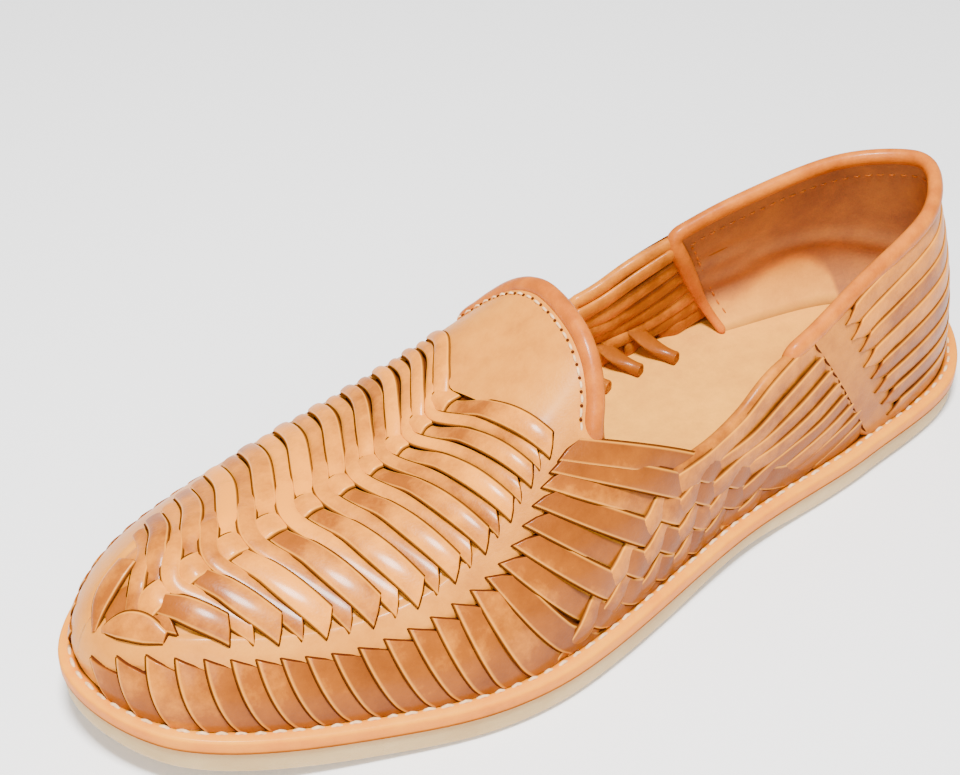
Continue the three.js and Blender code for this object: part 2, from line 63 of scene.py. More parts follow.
# Leather edge of the sole in plan, from the heel's back by the outer side to the toe and back
SOLE_OUTLINE = [
    (0, 0), (17.5, 27.3), (62, 38.6), (111, 43.8), (190, 59.3), (231.5, 50.6), (283.7, 25),
    (LENGTH, -7.7), (276.5, -33), (220.5, -52.9), (122, -41), (62, -38), (18, -26.5),
]
OUTLINE_STEPS = 60
SOLE_STATIONS = 160
COVER_STEPS = 9

# Rows of the three layers' sides: inset in mm, share of the height, dark, tone
CREPE_ROWS = [
    (3.2, 0.0, 0.0, 0.5), (2.2, 0.03, 0.0, 0.5), (1.3, 0.09, 0.0, 0.5), (0.7, 0.22, 0.0, 0.5),
    (0.55, 0.45, 0.0, 0.5), (0.6, 0.7, 0.0, 0.5), (0.75, 0.9, 0.5, 0.5), (1.1, 1.0, 1.0, 0.5),
]
# On the midsole the dark at the foot is its dark lower edge line; the dark on the ledge under the strips'
# feet is painted shade
EDGE_ROWS = [
    (0.6, 0.0, 0.7, 0.4), (0.1, 0.05, 0.7, 0.4), (0.0, 0.17, 0.6, 0.4), (0.0, 0.27, 0.08, 0.5),
    (0.0, 0.5, 0.0, 0.55), (0.05, 0.8, 0.0, 0.6), (0.3, 0.94, 0.0, 0.85), (0.9, 1.0, 0.0, 0.85),
    (2.6, 1.0, 0.0, 0.75), (3.7, 0.98, 0.2, 0.5), (4.5, 0.95, 0.8, 0.4), (6.5, 0.95, 1.0, 0.4),
]
INSOLE_ROWS = [(6.4, 0.0, 0.0, 0.75), (6.4, 0.72, 0.0, 0.75), (6.8, 0.92, 0.0, 0.75), (7.8, 1.0, 0.0, 0.75)]

# The ridge of the last in plan, and its sections: place, height, fullness of the side and of the top
RIDGE_HEEL = (38.0, 0.0)
RIDGE_TOE = (253.0, -5.0)
LAST_SECTIONS = [
    (0, 86, 1.8, 1.93), (0.25, 82, 1.8, 1.93), (0.45, 79, 1.8, 1.92), (0.6, 58, 1.82, 1.91),
    (0.72, 41.5, 1.85, 1.95), (0.85, 32.5, 1.92, 2.1), (1, 28, 2, 2.3),
]
# How far the leather sags below the solid, by x, and the degrees up where that starts and over which it grows
SAG_DEPTHS = [(0, 4.0), (130, 4.0), (165, 3.6), (190, 2.5), (215, 1.5), (245, 1.0), (275, 0.0), (300, 0.0)]
SAG_FROM_X = 120.0
SAG_OUTER = (58, 32)
SAG_INNER = (8, 26)

# The apron. Band edges: run along the feather from the toe, degrees up of the lower and the upper edge
BAND_EDGES = [
    (0, 10, 26), (4, 11.5, 26.8), (9, 16.5, 30.5), (20, 26.5, 35), (34, 30, 38), (52, 29.5, 37),
    (75, 28, 35.5), (95, 31.5, 38), (115, 37, 44), (141.5, 46, 53), (154, 42, 50),
]
BAND_END = 154.0
BAND_LIFT = 0.95
BAND_TONES = (0.62, 0.45)
BAND_TONE_RUN = (60, 60)
BAND_GRID = (150, 24)
# Lift by place across: below the band's edge, over it and on under the plug
BAND_PROFILE = [(-0.55, 0.05), (-0.25, BAND_LIFT), (1.2, BAND_LIFT), (1.5, -0.1), (2.2, -0.3)]
BAND_INNER_EDGE = 1.5
# Round the toe the band goes on down to the welt: place across, and the run over which that fades
TOE_REACH = -1.8
TOE_REACH_RUN = 26
# How much higher the band's upper edge is on the inner side, in degrees, by run
INNER_RAISES = [(0, 0), (10, 7), (26, 13), (46, 12), (66, 9), (91, 6), (120, 2), (154, 0)]

# The throat tab: runs at the band and at the ridge, roundness, lift and tone of its two faces
TAB_RUNS = {"front": (141.3, 126.3), "back": (153.5, 161.5)}
TAB_ROUND = 4.0
TAB_FACES = [(BAND_LIFT + 0.05, 0.5), (-1.2, 0.4)]
TAB_TOP = 89.95
TAB_EDGE_SHARES = [0.0, 0.1, 0.25, 0.45, 0.7, 0.94]
TAB_EDGE_LIFT = 0.2
TAB_EDGE_TUCK = -2.6
TAB_EDGE_FOOT = (-0.5, 2.5)
TAB_EDGE_POINTS = 140

# Bindings: half width and half thickness, and where they sit past the edge
BINDING_HALF = (2.6, 2.2)
TAB_BINDING_INSET = -1.0
TAB_BINDING_TONE = 0.5
COLLAR_BINDING_TONE = 0.6
COLLAR_BINDING_LIFT = -0.5
BINDING_PAST = 0.8
ROLL_TURNS = 20
ROLL_ENDS = (0.45, 0.85)

# Stitches: pitch, length and width of a thread, and the size of a thread along its length
WELT_STITCH = {"pitch": 4.7, "length": 3.5, "width": 0.95}
TAB_STITCH = {"pitch": 3.6, "length": 2.3, "width": 0.7}
COLLAR_STITCH = {"pitch": 3.4, "length": 2.2, "width": 0.6}
STITCH_SIZES = [(-0.5, 0.25), (-0.44, 0.7), (-0.25, 1.0), (0.0, 1.05), (0.25, 1.0), (0.44, 0.7), (0.5, 0.25)]
STITCH_SEED = 7
STITCH_TURNS = 8
STITCH_FLAT = 0.8
WELT_STITCH_INSET = 3.0
WELT_STITCH_LIFT = 0.25
TAB_STITCH_INSET = 2.6
TAB_STITCH_LIFT = BAND_LIFT + 0.2
TAB_STITCH_TRIM = slice(8, -8)
COLLAR_STITCH_BELOW = 4.6
COLLAR_STITCH_BACK = 5.2
COLLAR_STITCH_LIFT = -2.6
HOLE_RADIUS = 0.45
HOLE_SINK = 0.25
HOLE_ROWS = [(1.0, -0.2), (0.9, 0.12), (0.4, 0.16)]

# Top line of the quarter and collar: run from the toe, degrees up the section
TOP_LINE = [
    (154, 42), (161, 35.5), (171, 28), (188, 23.8), (206, 25), (218, 29), (236, 32.5), (250, 35.5),
    (280, 40), (328, 44.5),
]

# Faces of the wall under the strips: lift, tone, dark. The outer face is painted dark, as shade in the gaps
# between strips.
WALL_FACES = [(-0.6, 0.25, 0.65), (-2.2, 0.3, 0.0)]
WALL_BELOW = 0.4

# A strip's section from its left edge over the top to the right edge and back underneath.
# Columns: place across, extra width in mm, height in mm, pale cut edge, painted crevice shade.
# The underside sticks out a little past the edges and is painted dark: a painted line of shade round each
# strip.
STRIP_SECTION = np.array([
    (-1.0, 0.0, -0.36, 0.2, 0.75),
    (-0.94, 0.0, -0.09, 0.9, 0.0),
    (-0.78, 0.0, 0.0, 0.0, 0.0),
    (-0.4, 0.0, 0.0, 0.0, 0.0),
    (0.0, 0.0, 0.0, 0.0, 0.0),
    (0.4, 0.0, 0.0, 0.0, 0.0),
    (0.78, 0.0, 0.0, 0.0, 0.0),
    (0.94, 0.0, -0.09, 0.9, 0.0),
    (1.0, 0.0, -0.36, 0.2, 0.75),
    (1.0, 0.02, -0.42, 0.2, 0.7),
    (1.0, 0.45, -0.5, 0.0, 1.0),
    (0.9, 0.0, -1.0, 0.0, 1.0),
    (-0.9, 0.0, -1.0, 0.0, 1.0),
    (-1.0, -0.45, -0.5, 0.0, 1.0),
    (-1.0, -0.02, -0.42, 0.2, 0.7),
])
# Rows past each end of a strip: how far past in mm, how far the top drops, how dark the painted shade at the
# cut end is
END_ROWS = np.array([(0.0, 0.0, 0.0), (0.06, 0.12, 0.25), (0.12, 0.5, 0.9), (0.5, 0.85, 1.0)])
END_HOLD = 0.3
UNDERSIDE = -1.0
CROWN = 0.25
STRIP_ROWS = 40
# Strips are darker near the welt, up to some degrees
WELT_SHADE = 0.25
WELT_SHADE_UP = 15.0

# Side strips: number, run of the tip at the band, run of the foot at the welt
SIDE_STRIPS = [
    (0, 6.4, 12), (4, 37, 46), (8, 63, 73), (12, 90, 101), (15, 108, 121), (17, 117, 147), (19, 126, 171),
    (21, 134, 198), (23, 141, 222),
]
STRIP_COUNT = 24
FIRST_WOVEN = 16
FOOT_EASE = 0.8
SIDE_STOPS = 9
SIDE_KINDS = {
    "plain": {
        "width": [(0, 9.0), (0.5, 9.0), (1, 8.4)],
        "tilt": [(0, 0.7), (0.5, 0.85), (0.85, 0.5), (1, 0.3)],
        "end": (-6.0, -2.6, 0.0),
    },
    "woven": {
        "width": [(0, 7.4), (0.5, 7.2), (1, 6.4)],
        "tilt": [(0, 0.15), (0.6, 0.2), (0.8, 0.4), (1, 0.3)],
        "end": (-5.2, -2.0, 0.0),
    },
}
SIDE_FOOT_CUT = (-12.0, -7.0, -2.0)
SIDE_FOOT_LEVEL = 0.7
SIDE_TONES = (0.62, 0.42)
SIDE_TONE_STRIPS = 10
SIDE_SPREAD = (-0.13, 0.13)
# Lift near the tip and at it, by side, and the shares along the strip where it starts
TIP_LEVELS = {1: (1.35, 1.6, 1.7), -1: (1.0, 1.05, 1.1)}
TIP_SHARES = (0.82, 0.93)
LAST_CROSSING = 0.74
# How far the tips reach over the band's lower edge, in degrees, by run, and how high the inner ones reach
TIP_REACHES = [(0, 2.0), (30, 1.5), (100, 0.5), (125, 0.8), (141, 3.4)]
INNER_TIPS = 0.86
# Lift of a strip over another and under it, and how near two strips pass where they cross
OVER = 1.25
UNDER = 0.3
CROSSING_REACH = 1.0
CROSSING_SAMPLES = 240
KNOT_GAP = 0.015

# Strips that come forward from the heel panel through the side strips: run, degrees up
FORWARD_STRIPS = [
    [(240, 31), (220, 25.3), (206, 21), (192, 20), (182, 21), (174, 21.6), (164, 19), (150, 14.5), (141, 9),
     (133, 0)],
    [(243, 26.5), (224, 20.5), (208, 16.6), (195, 16.4), (185, 16.8), (178, 16), (164, 12.2), (150, 8),
     (139, 0)],
    [(246, 22.5), (227, 16.4), (213, 13.6), (203, 13.5), (192, 13), (185, 11.8), (178, 9.8), (164, 5),
     (153, 0)],
    [(249, 18.5), (231, 13), (217, 10.7), (207, 10.5), (199, 10), (192, 8.5), (185, 6.5), (168, 0)],
    [(252, 14.8), (235, 9.6), (221, 7.6), (210, 6.8), (199, 5), (192, 3.4), (182, 0)],
    [(255, 11), (239, 7), (225, 4.6), (212, 2.6), (202, 0)],
    [(256, 7.2), (244, 4.6), (231, 2.2), (222, 0)],
    [(254.5, 3.4), (248, 2.0), (240, 0)],
]
FORWARD_WIDTH = [(0, 7.4), (0.1, 8.8), (0.32, 8.6), (0.52, 7.0), (1, 6.4)]
FORWARD_TILT = [(0, -0.8), (0.3, -0.7), (0.5, -0.3), (1, -0.2)]
FORWARD_LEVEL = 0.7
FORWARD_HOLD = (0.3, 0.75)
FORWARD_ENDS = (0.3, 0.5)
FORWARD_CUT = (6, 6, 6)
FORWARD_TONE = 0.57
FORWARD_SPREAD = (-0.12, 0.14)
FORWARD_ROWS = 76

# Plug strips: number, and x of the tip at the outer band
PLUG_STRIPS = [(0, 269.3), (5, 241.6), (10, 213.1), (15, 190.1), (19, 174.6)]
PLUG_COUNT = 20
PLUG_END_GAP = 9.5
APEX_AHEAD = 8.6
FAR_BACK = 12.5
TIP_CENTRE = np.array([-3.1, -1.1])
# Shares in x and y of the bends between the inner end, the ridge and the outer end
FAR_BOW = np.array([0.2, 0.36])
FAR_BEND = np.array([0.66, 0.72])
NEAR_BOW = np.array([0.4, 0.42])
# The first strip is short: how far it reaches, and where it bends
FIRST_REACH = 0.6
FIRST_BEND = 0.5
# The two kinds: width as a share of the spacing within a kind, lift, how much darker, lift of the warp there
PLUG_KINDS = {
    "over_band": {
        "width": [(0, 0.44), (0.3, 0.47), (0.52, 0.46), (0.66, 0.5), (0.8, 0.6), (1, 0.58)],
        "level": [(0, 1.8), (0.12, 1.9), (0.36, 1.5), (0.52, 0.25), (0.7, 1.6), (0.88, 2.1), (1, 2.0)],
        "shade": [(0, 0.1), (0.2, 0.0), (0.5, 0.08), (0.57, 0.34), (0.7, 0.22), (0.86, 0.0), (1, 0.04)],
        "end": (-1.6, 0.0, 1.0),
        "warp": 1.7,
    },
    "over_warp": {
        "width": [(0, 0.4), (0.35, 0.42), (0.52, 0.42), (0.66, 0.42), (0.8, 0.48), (1, 0.56)],
        "level": [(0, 1.4), (0.2, 0.5), (0.36, 0.8), (0.52, 1.5), (0.68, 0.8), (0.86, 0.6), (1, 1.45)],
        "shade": [(0, 0.1), (0.3, 0.06), (0.52, 0.0), (0.7, 0.12), (0.9, 0.2), (1, 0.14)],
        "end": (-3.4, -0.8, 1.0),
        "warp": 0.4,
    },
}
PLUG_START = (-0.8, 0, 0.8)
PLUG_CROWN = 0.4
PLUG_TONE = 0.86
PLUG_SPREAD = (-0.16, 0.16)
SECOND_DARKER = 0.25
PLUG_ROWS = 56
# The warp strip: two places in plan, width, lift and how far it goes past the plug strips at its ends
WARP_LINE = ((181, -3.2), (265, 4.6))
WARP_WIDTH = 6.6
WARP_ENDS = (0.6, 0.5)
WARP_PAST = (4, 3)
WARP_STOPS = 16
WARP_TONE = 0.85
WARP_ROWS = 170
# Short strips at the plug's toe end: stops in plan, width, lift, tone
TOE_RISE = [(0, 1.3), (0.3, 1.9), (0.7, 1.9), (1, 1.5)]
TOE_STRIPS = [
    ([(284.6, 1.2), (279.5, 6.2), (274.2, 14.0)],
     [(0, 1.6), (0.35, 6.2), (0.7, 6.4), (1, 3.0)], TOE_RISE, 0.7),
    ([(283.0, -0.8), (276, 1.5), (267, 7.5)], 9.0, 0.5, 0.5),
    ([(282.0, -3.2), (274, -6.5), (265, -9.5)], 8.5, 0.4, 0.7),
    ([(286.2, -0.6), (280.7, -4.3), (272.5, -8.2)], [(0, 1.2), (0.4, 5.0), (1, 6.0)], TOE_RISE, 0.62),
]

# Heel panels: runs of the edges at the top line and at the welt, lift, rim and tone
PANEL_FRONT = (236.0, 258.0)
PANEL_BACK = (250.0, 270.0)
PANEL_LIFT = 1.25
PANEL_RIM = 0.2
PANEL_RIM_DROP = 1.4
PANEL_TONE = 0.2
PANEL_FOOT_DARKER = 0.14
PANEL_FOOT = 0.4
# Slits in the panel's front edge, where the forward strips come out, painted dark as shade in the slits
SLOT = {"length": 4.6, "width": 0.8, "ahead": -1.0, "bow": 1.2, "run": 240.0, "sink": 0.15, "tone": 0.2}

# Strips round the heel
HEEL_COUNT = 8
HEEL_WIDTH = [(0, 3.6), (0.03, 6.4), (0.1, 7.4), (0.9, 7.4), (0.97, 6.4), (1, 3.6)]
HEEL_LEVEL = [(0, 1.6), (0.05, 1.7), (0.1, 1.2), (0.9, 1.2), (0.95, 1.7), (1, 1.6)]
HEEL_CUTS = {"start": (3.5, -1.5, 4.5), "end": (-3.5, 1.5, -4.5)}
HEEL_START = -2.0
HEEL_TOP = 0.97
HEEL_CENTRE = 0.55
HEEL_TONE = 0.65
HEEL_SPREAD = (-0.13, 0.13)

# Front edges of the collar and its lining at the top line and at the welt, outer and inner side
COLLAR_FRONT = {1: (227.0, 248.0), -1: (233.0, 254.0)}
FRONT_ROLL_LIFT = -4.0
FRONT_ROLL_FOOT = 0.5
FRONT_ROLL_SHARES = (0.06, 0.86)
FRONT_ROLL_GROWS = 0.7
LINING_LIFT = -2.4
# The lining is drawn in over the insole: reach in mm, share where that starts and over which it fades
FILLET = {"reach": 9.0, "foot": 0.05, "height": 0.24}
# Height of the border between the lining's lit lower part and the painted shadow of the collar above it, by
# place from the heel's back to the front edge
SHADE_BORDER = [(0, -0.05), (0.4, -0.05), (0.45, 0.17), (0.52, 0.29), (0.68, 0.3), (0.85, 0.21), (1, 0.18)]
LINING_TONE = 0.78
LINING_SHADE = 0.62
SHADE_BORDER_FADE = 0.12
LINING_SEAM = {"dark": 0.55, "above": 0.03, "fade": 0.02}

# Straps seen inside the quarter: half width and half thickness, lift, how far they wave, tone
STRAP = {"half": (2.9, 1.3), "lift": -3.2, "swing": 0.9, "tone": 0.58, "length": 0.7}
CROSS_STRAP = {"half": (3.0, 1.0), "lift": -3.3, "swing": 1.7, "tone": 0.5}
STRAP_SPREAD = (-0.1, 0.12)
STRAP_LOWEST = 2.5
INNER_STRAP_COUNT = 7
# The strap rolled along the quarter's top line
EDGE_STRAP = {"half": (2.5, 1.9), "lift": -0.9, "below": 1.0, "from": 164.0, "past": 4.0}
EDGE_STRAP_TONE = {1: 0.6, -1: 0.75}
# Rolled strap ends on the insole, inner side: x and y of the open ends, then their shape
STRAP_ENDS = [(114.4, -20.5), (101.7, -21.4), (89.2, -19.9)]
STRAP_END = {"radius": 2.1, "from": (9.0, -14.0, 8.5), "bend": (2.5, -5.5, -0.6), "flat": (3.4, 1.0)}
# The open end, a lip and a hollow painted dark as shade: share of the radius, how far out, dark
STRAP_LIP = [(1.0, 0.0, 0.0), (0.88, 0.35, 0.1), (0.6, 0.2, 0.3), (0.45, -0.4, 1.0), (0.1, -1.4, 1.0)]

# Leathers: colours in shade, of the body and in light, roughness, coat, strength of the mottling
LEATHERS = {
    "strip_leather": ((0.15, 0.032, 0.002), (0.30, 0.075, 0.003), (0.86, 0.28, 0.010), 0.40, 0.17, 0.85),
    "apron_leather": ((0.35, 0.098, 0.010), (0.63, 0.215, 0.014), (0.79, 0.305, 0.026), 0.42, 0.14, 1.0),
    "binding_leather": ((0.18, 0.039, 0.004), (0.45, 0.104, 0.004), (0.80, 0.235, 0.012), 0.40, 0.12, 1.0),
    "lining_leather": ((0.25, 0.092, 0.040), (0.56, 0.205, 0.034), (0.90, 0.40, 0.045), 0.55, 0.0, 0.6),
    "edge_leather": ((0.38, 0.097, 0.005), (0.76, 0.205, 0.003), (0.88, 0.32, 0.008), 0.46, 0.08, 1.0),
}
PALE_EDGE = (0.93, 0.37, 0.03)
PALE_EDGE_SHARE = 0.7
# Painted shade for crevices, gaps, slits and holes between and under parts; also the dark of real seams and
# edge lines
JOINT_AND_CREVICE_SHADE = (0.065, 0.014, 0.005)
# Noise of the leather: scale, detail, roughness, and how far it swings the tone
CLOUDS = (48.0, 4.0, 0.55, 0.17)
PATCHES = (190.0, 5.0, 0.6, 0.09)
SPECKS = (900.0, 3.0, 0.6, 0.04)
CREASES = (320.0, 6.0, 0.65)
PORE_SCALE = 1500.0
PORE_SHARE = 0.35
LEATHER_BUMP = (0.2, 0.0006)
ROUGHNESS_SWING = (-0.06, 0.08)
COAT_ROUGHNESS = 0.16
SPECULAR = 0.11
# Gloss is gone where the dark paint (mostly painted crevice shade) is this dark
MATT_FROM = 0.6

# Camera and light
CAMERA = {"azimuth": 146.24, "elevation": 40.47, "distance": 520.72, "lens": 68.94, "sensor": 36.0}
CAMERA_TARGET = (156.91, -25.29, 34.34)
FLOOR_HALF = 4.0
WORLD_STRENGTH = 0.7
# Name, place and aim in metres, size, power
LIGHTS = [
    ("key", (0.15, 0.18, 0.93), (0.03, 0.0, 0.03), 0.2, 24.0),
    ("fill", (0.6, 0.7, 0.5), (0.0, 0.0, 0.03), 0.6, 6.0),
]


# Small tools


class Curve:
    """A smooth curve through one column of a short table."""

    def __init__(self, rows, column=1):
        self.x = np.array([row[0] for row in rows], float)
        self.y = np.array([row[column] for row in rows], float)
        width = np.diff(self.x)
        slope = np.diff(self.y) / width
        inner = (slope[:-1] * width[1:] + slope[1:] * width[:-1]) / (width[1:] + width[:-1])
        self.m = np.concatenate([slope[:1], inner, slope[-1:]])

    def __call__(self, at):
        at = np.clip(np.asarray(at, float), self.x[0], self.x[-1])
        i = np.clip(np.searchsorted(self.x, at) - 1, 0, len(self.x) - 2)
        h = self.x[i + 1] - self.x[i]
        return hermite((at - self.x[i]) / h, self.y[i], self.y[i + 1], h * self.m[i], h * self.m[i + 1])


def hermite(t, start, end, leave, arrive):
    first = (2 * t**3 - 3 * t**2 + 1) * start + (t**3 - 2 * t**2 + t) * leave
    return first + ((3 * t**2 - 2 * t**3) * end + (t**3 - t**2) * arrive)


def lerp(a, b, t):
    return a + (b - a) * t


def smooth(t):
    t = np.clip(t, 0, 1)
    return t * t * (3 - 2 * t)


def unit(v):
    return v / np.maximum(np.linalg.norm(v, axis=-1, keepdims=True), 1e-9)


def turns(count):
    return np.linspace(0, 2 * np.pi, count, endpoint=False)


def arc_of(points):
    """Length along a line of points, at each of them."""
    return np.concatenate([[0], np.cumsum(np.linalg.norm(np.diff(points, axis=0), axis=1))])


def read_line(at, arc, values):
    """Columns of values read at lengths along a line."""
    return np.stack([np.interp(at, arc, column) for column in values.T], -1)


def smooth_line(at, arc, values):
    """Columns of values read on smooth curves at lengths along a line."""
    return np.stack([Curve(list(zip(arc, column)))(at) for column in values.T], -1)


def even_line(points, spacing):
    """A line of points resampled at an even spacing."""
    arc = arc_of(points)
    return read_line(np.linspace(0, arc[-1], max(int(arc[-1] / spacing), 4)), arc, points)


def rounded_line(points, window):
    """A line with its corners rounded by a running mean, its ends kept."""
    padded = np.concatenate([np.repeat(points[:1], window, 0), points, np.repeat(points[-1:], window, 0)])
    kernel = np.ones(2 * window + 1) / (2 * window + 1)
    return np.stack([np.convolve(column, kernel, "valid") for column in padded.T], -1)


# The sole's outline and the last


def outline(inset):
    p1 = np.array(SOLE_OUTLINE, float)
    p0, p2, p3 = (np.roll(p1, k, 0) for k in (1, -1, -2))
    pairs = ((p0, p1), (p1, p2), (p2, p3))
    d01, d12, d23 = (np.linalg.norm(b - a, axis=1)[:, None] ** 0.5 for a, b in pairs)
    m1 = (p2 - p1) + d12 * ((p1 - p0) / d01 - (p2 - p0) / (d01 + d12))
    m2 = (p2 - p1) + d12 * ((p3 - p2) / d23 - (p3 - p1) / (d12 + d23))
    t = np.linspace(0, 1, OUTLINE_STEPS, endpoint=False)[None, :, None]
    points = hermite(t, *(v[:, None] for v in (p1, p2, m1, m2))).reshape(-1, 2)
    along = unit(np.roll(points, -1, 0) - np.roll(points, 1, 0))
    return points + inset * np.stack([along[:, 1], -along[:, 0]], 1)


class Loop:
    """A closed outline read by signed run from the toe: positive by the outer side, negative by the inner."""

    def __init__(self, inset):
        p = outline(inset)
        n = len(p)
        toe, heel = p[:, 0].argmax(), p[:, 0].argmin()
        self.outer = p[(toe - np.arange((toe - heel) % n + 1)) % n]
        self.inner = p[(toe + np.arange((heel - toe) % n + 1)) % n]
        self.runs = arc_of(self.outer)
        self.full = self.runs[-1]

    def at(self, s):
        s = np.where(s > self.full, s - 2 * self.full, s)
        s = np.where(s < -self.full, s + 2 * self.full, s)
        x = np.interp(np.abs(s), self.runs, self.outer[:, 0])
        outer_y = np.interp(np.abs(s), self.runs, self.outer[:, 1])
        inner_y = np.interp(-x, -self.inner[:, 0], self.inner[:, 1])
        return x, np.where(s >= 0, outer_y, inner_y)


FEATHER = Loop(LEDGE)
FULL = FEATHER.full
HEIGHT, SIDE, TOP = (Curve(LAST_SECTIONS, column) for column in (1, 2, 3))
SAG = Curve(SAG_DEPTHS)
BAND_LOW, BAND_HIGH = (Curve(BAND_EDGES, column) for column in (1, 2))
INNER_RAISE = Curve(INNER_RAISES)
TOP_UP = Curve(TOP_LINE)
SIDE_TIP, SIDE_FOOT = (Curve(SIDE_STRIPS, column) for column in (1, 2))
TIP_REACH = Curve(TIP_REACHES)
PLUG_X = Curve(PLUG_STRIPS)
STEP_S = 0.8
STEP_UP = 0.8
PLAN_STEP = 0.5
PATH_STEP = 0.6
PATH_SAMPLES = 160
BISECTIONS = 32


def spring(x):
    return TOE_SPRING * (np.maximum(0, x - SPRING_START) / (LENGTH - SPRING_START)) ** 2


def ridge(t):
    return lerp(RIDGE_HEEL[0], RIDGE_TOE[0], t), lerp(RIDGE_HEEL[1], RIDGE_TOE[1], t)


def last(s, up):
    """Points of the last at a signed run along the feather and degrees up. Past 90 is the other side."""
    s, up = np.broadcast_arrays(np.asarray(s, float), np.asarray(up, float))
    s = np.where(up > 90, -s, s)
    up = np.where(up > 90, 180 - up, up)
    phi = np.radians(np.clip(up, 0, 90))
    x, y = FEATHER.at(s)
    t = np.clip(x / LENGTH, 0, 1)
    reach = np.maximum(np.cos(phi), 0) ** (2 / SIDE(t))
    rise = np.sin(phi) ** (2 / TOP(t))
    rx, ry = ridge(t)
    px, py = lerp(rx, x, reach), lerp(ry, y, reach)
    outer, inner = (smooth((up - start) / grows) for start, grows in (SAG_OUTER, SAG_INNER))
    sag = SAG(px) * np.where(s >= 0, outer, inner) * (px > SAG_FROM_X)
    return np.stack([px, py, FEATHER_BASE + spring(x) + HEIGHT(t) * rise - sag], -1)


def last_normal(s, up):
    along = last(s + STEP_S, up) - last(s - STEP_S, up)
    rising = last(s, up + STEP_UP) - last(s, np.maximum(up - STEP_UP, 0))
    return unit(np.cross(along, rising))


def lifted(s, up, lift):
    return last(s, up) + last_normal(s, up) * np.asarray(lift)[..., None]


def locate(x, y):
    """Signed run and degrees up of the point of the last over a place in plan."""
    toe_x, toe_y = FEATHER.at(0.0)
    slope = (RIDGE_TOE[1] - RIDGE_HEEL[1]) / (RIDGE_TOE[0] - RIDGE_HEEL[0])
    nose = (toe_y - RIDGE_TOE[1]) / (toe_x - RIDGE_TOE[0])
    ahead = RIDGE_TOE[1] + (x - RIDGE_TOE[0]) * nose
    middle = np.where(x > RIDGE_TOE[0], ahead, RIDGE_HEEL[1] + (x - RIDGE_HEEL[0]) * slope)
    side = np.where(y >= middle, 1.0, -1.0)
    low, high = np.zeros_like(x), np.full_like(x, FULL)
    for _ in range(BISECTIONS):
        run = (low + high) / 2
        fx, fy = FEATHER.at(side * run)
        rx, ry = ridge(np.clip(fx / LENGTH, 0, 1))
        turn = side * ((fx - rx) * (y - ry) - (fy - ry) * (x - rx))
        low = np.where(turn > 0, run, low)
        high = np.where(turn > 0, high, run)
    fx, fy = FEATHER.at(side * low)
    t = np.clip(fx / LENGTH, 0, 1)
    rx, ry = ridge(t)
    reach = ((x - rx) * (fx - rx) + (y - ry) * (fy - ry)) / ((fx - rx) ** 2 + (fy - ry) ** 2)
    phi = np.arccos(np.clip(reach, 0, 1) ** (SIDE(t) / 2))
    return side * low, np.degrees(phi)


def height_at(x, y):
    return last(*locate(x, y))[..., 2]


def plan_normal(x, y):
    dx = (height_at(x + PLAN_STEP, y) - height_at(x - PLAN_STEP, y)) / (2 * PLAN_STEP)
    dy = (height_at(x, y + PLAN_STEP) - height_at(x, y - PLAN_STEP)) / (2 * PLAN_STEP)
    return unit(np.stack([-dx, -dy, np.ones_like(dx)], -1))


def top_up(run):
    """Degrees up of the top line at a run that may go on round the heel to the inner side."""
    return TOP_UP(np.minimum(run, 2 * FULL - run))


def edge_run(edge, share):
    """Run of a slanted edge, given at the top line and at the welt, by share of the height."""
    return lerp(edge[1], edge[0], share**FOOT_EASE)


# Meshes


class Maker:
    """Collects the corners, faces and paint of one piece. Paint is tone, pale edge and dark: painted shade in
    crevices, gaps, slits and holes, and a few real dark seams and edge lines.
    """

    def __init__(self):
        self.points, self.paint, self.faces, self.count = [], [], [], 0

    def grid(self, points, paint, ring=False, caps=False, keep=None):
        n, m = points.shape[:2]
        first = self.count
        self.points.append(points.reshape(-1, 3))
        self.paint.append(paint.reshape(-1, 3))
        self.count += n * m
        index = first + np.arange(n * m).reshape(n, m)
        beside = np.roll(index, -1, 1) if ring else index[:, 1:]
        base = index if ring else index[:, :-1]
        quads = np.stack([base[:-1], beside[:-1], beside[1:], base[1:]], -1).reshape(-1, 4)
        if keep is not None:
            quads = quads[keep.reshape(-1)[quads - first].any(1)]
        self.faces.extend(quads.tolist())
        if caps:
            self.faces.append(index[0, ::-1].tolist())
            self.faces.append(index[-1].tolist())

    def sheet(self, points, tone, dark=0.0, **kind):
        """A grid without pale edges."""
        paint = np.zeros(points.shape)
        paint[..., 0] = tone
        paint[..., 2] = dark
        self.grid(points, paint, **kind)


def face_outward(mesh):
    work = bmesh.new()
    work.from_mesh(mesh)
    bmesh.ops.recalc_face_normals(work, faces=work.faces)
    work.to_mesh(mesh)
    work.free()
    mesh.update()


def make_piece(name, maker, material, slot, *nodes):
    points = (np.concatenate(maker.points) - ORIGIN) * MM
    mesh = bpy.data.meshes.new(name)
    mesh.from_pydata(points.tolist(), [], maker.faces)
    mesh.polygons.foreach_set("use_smooth", np.ones(len(mesh.polygons), bool))
    paint = mesh.color_attributes.new("paint", "FLOAT_COLOR", "POINT")
    colours = np.concatenate([np.concatenate(maker.paint), np.ones((maker.count, 1))], 1)
    paint.data.foreach_set("color", colours.astype(np.float32).ravel())
    mesh.materials.append(material)
    face_outward(mesh)
    piece = bpy.data.objects.new(name, mesh)
    bpy.context.scene.collection.objects.link(piece)
    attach(piece, "root")
    if nodes:
        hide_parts(*nodes)


# Ribbons and rolls


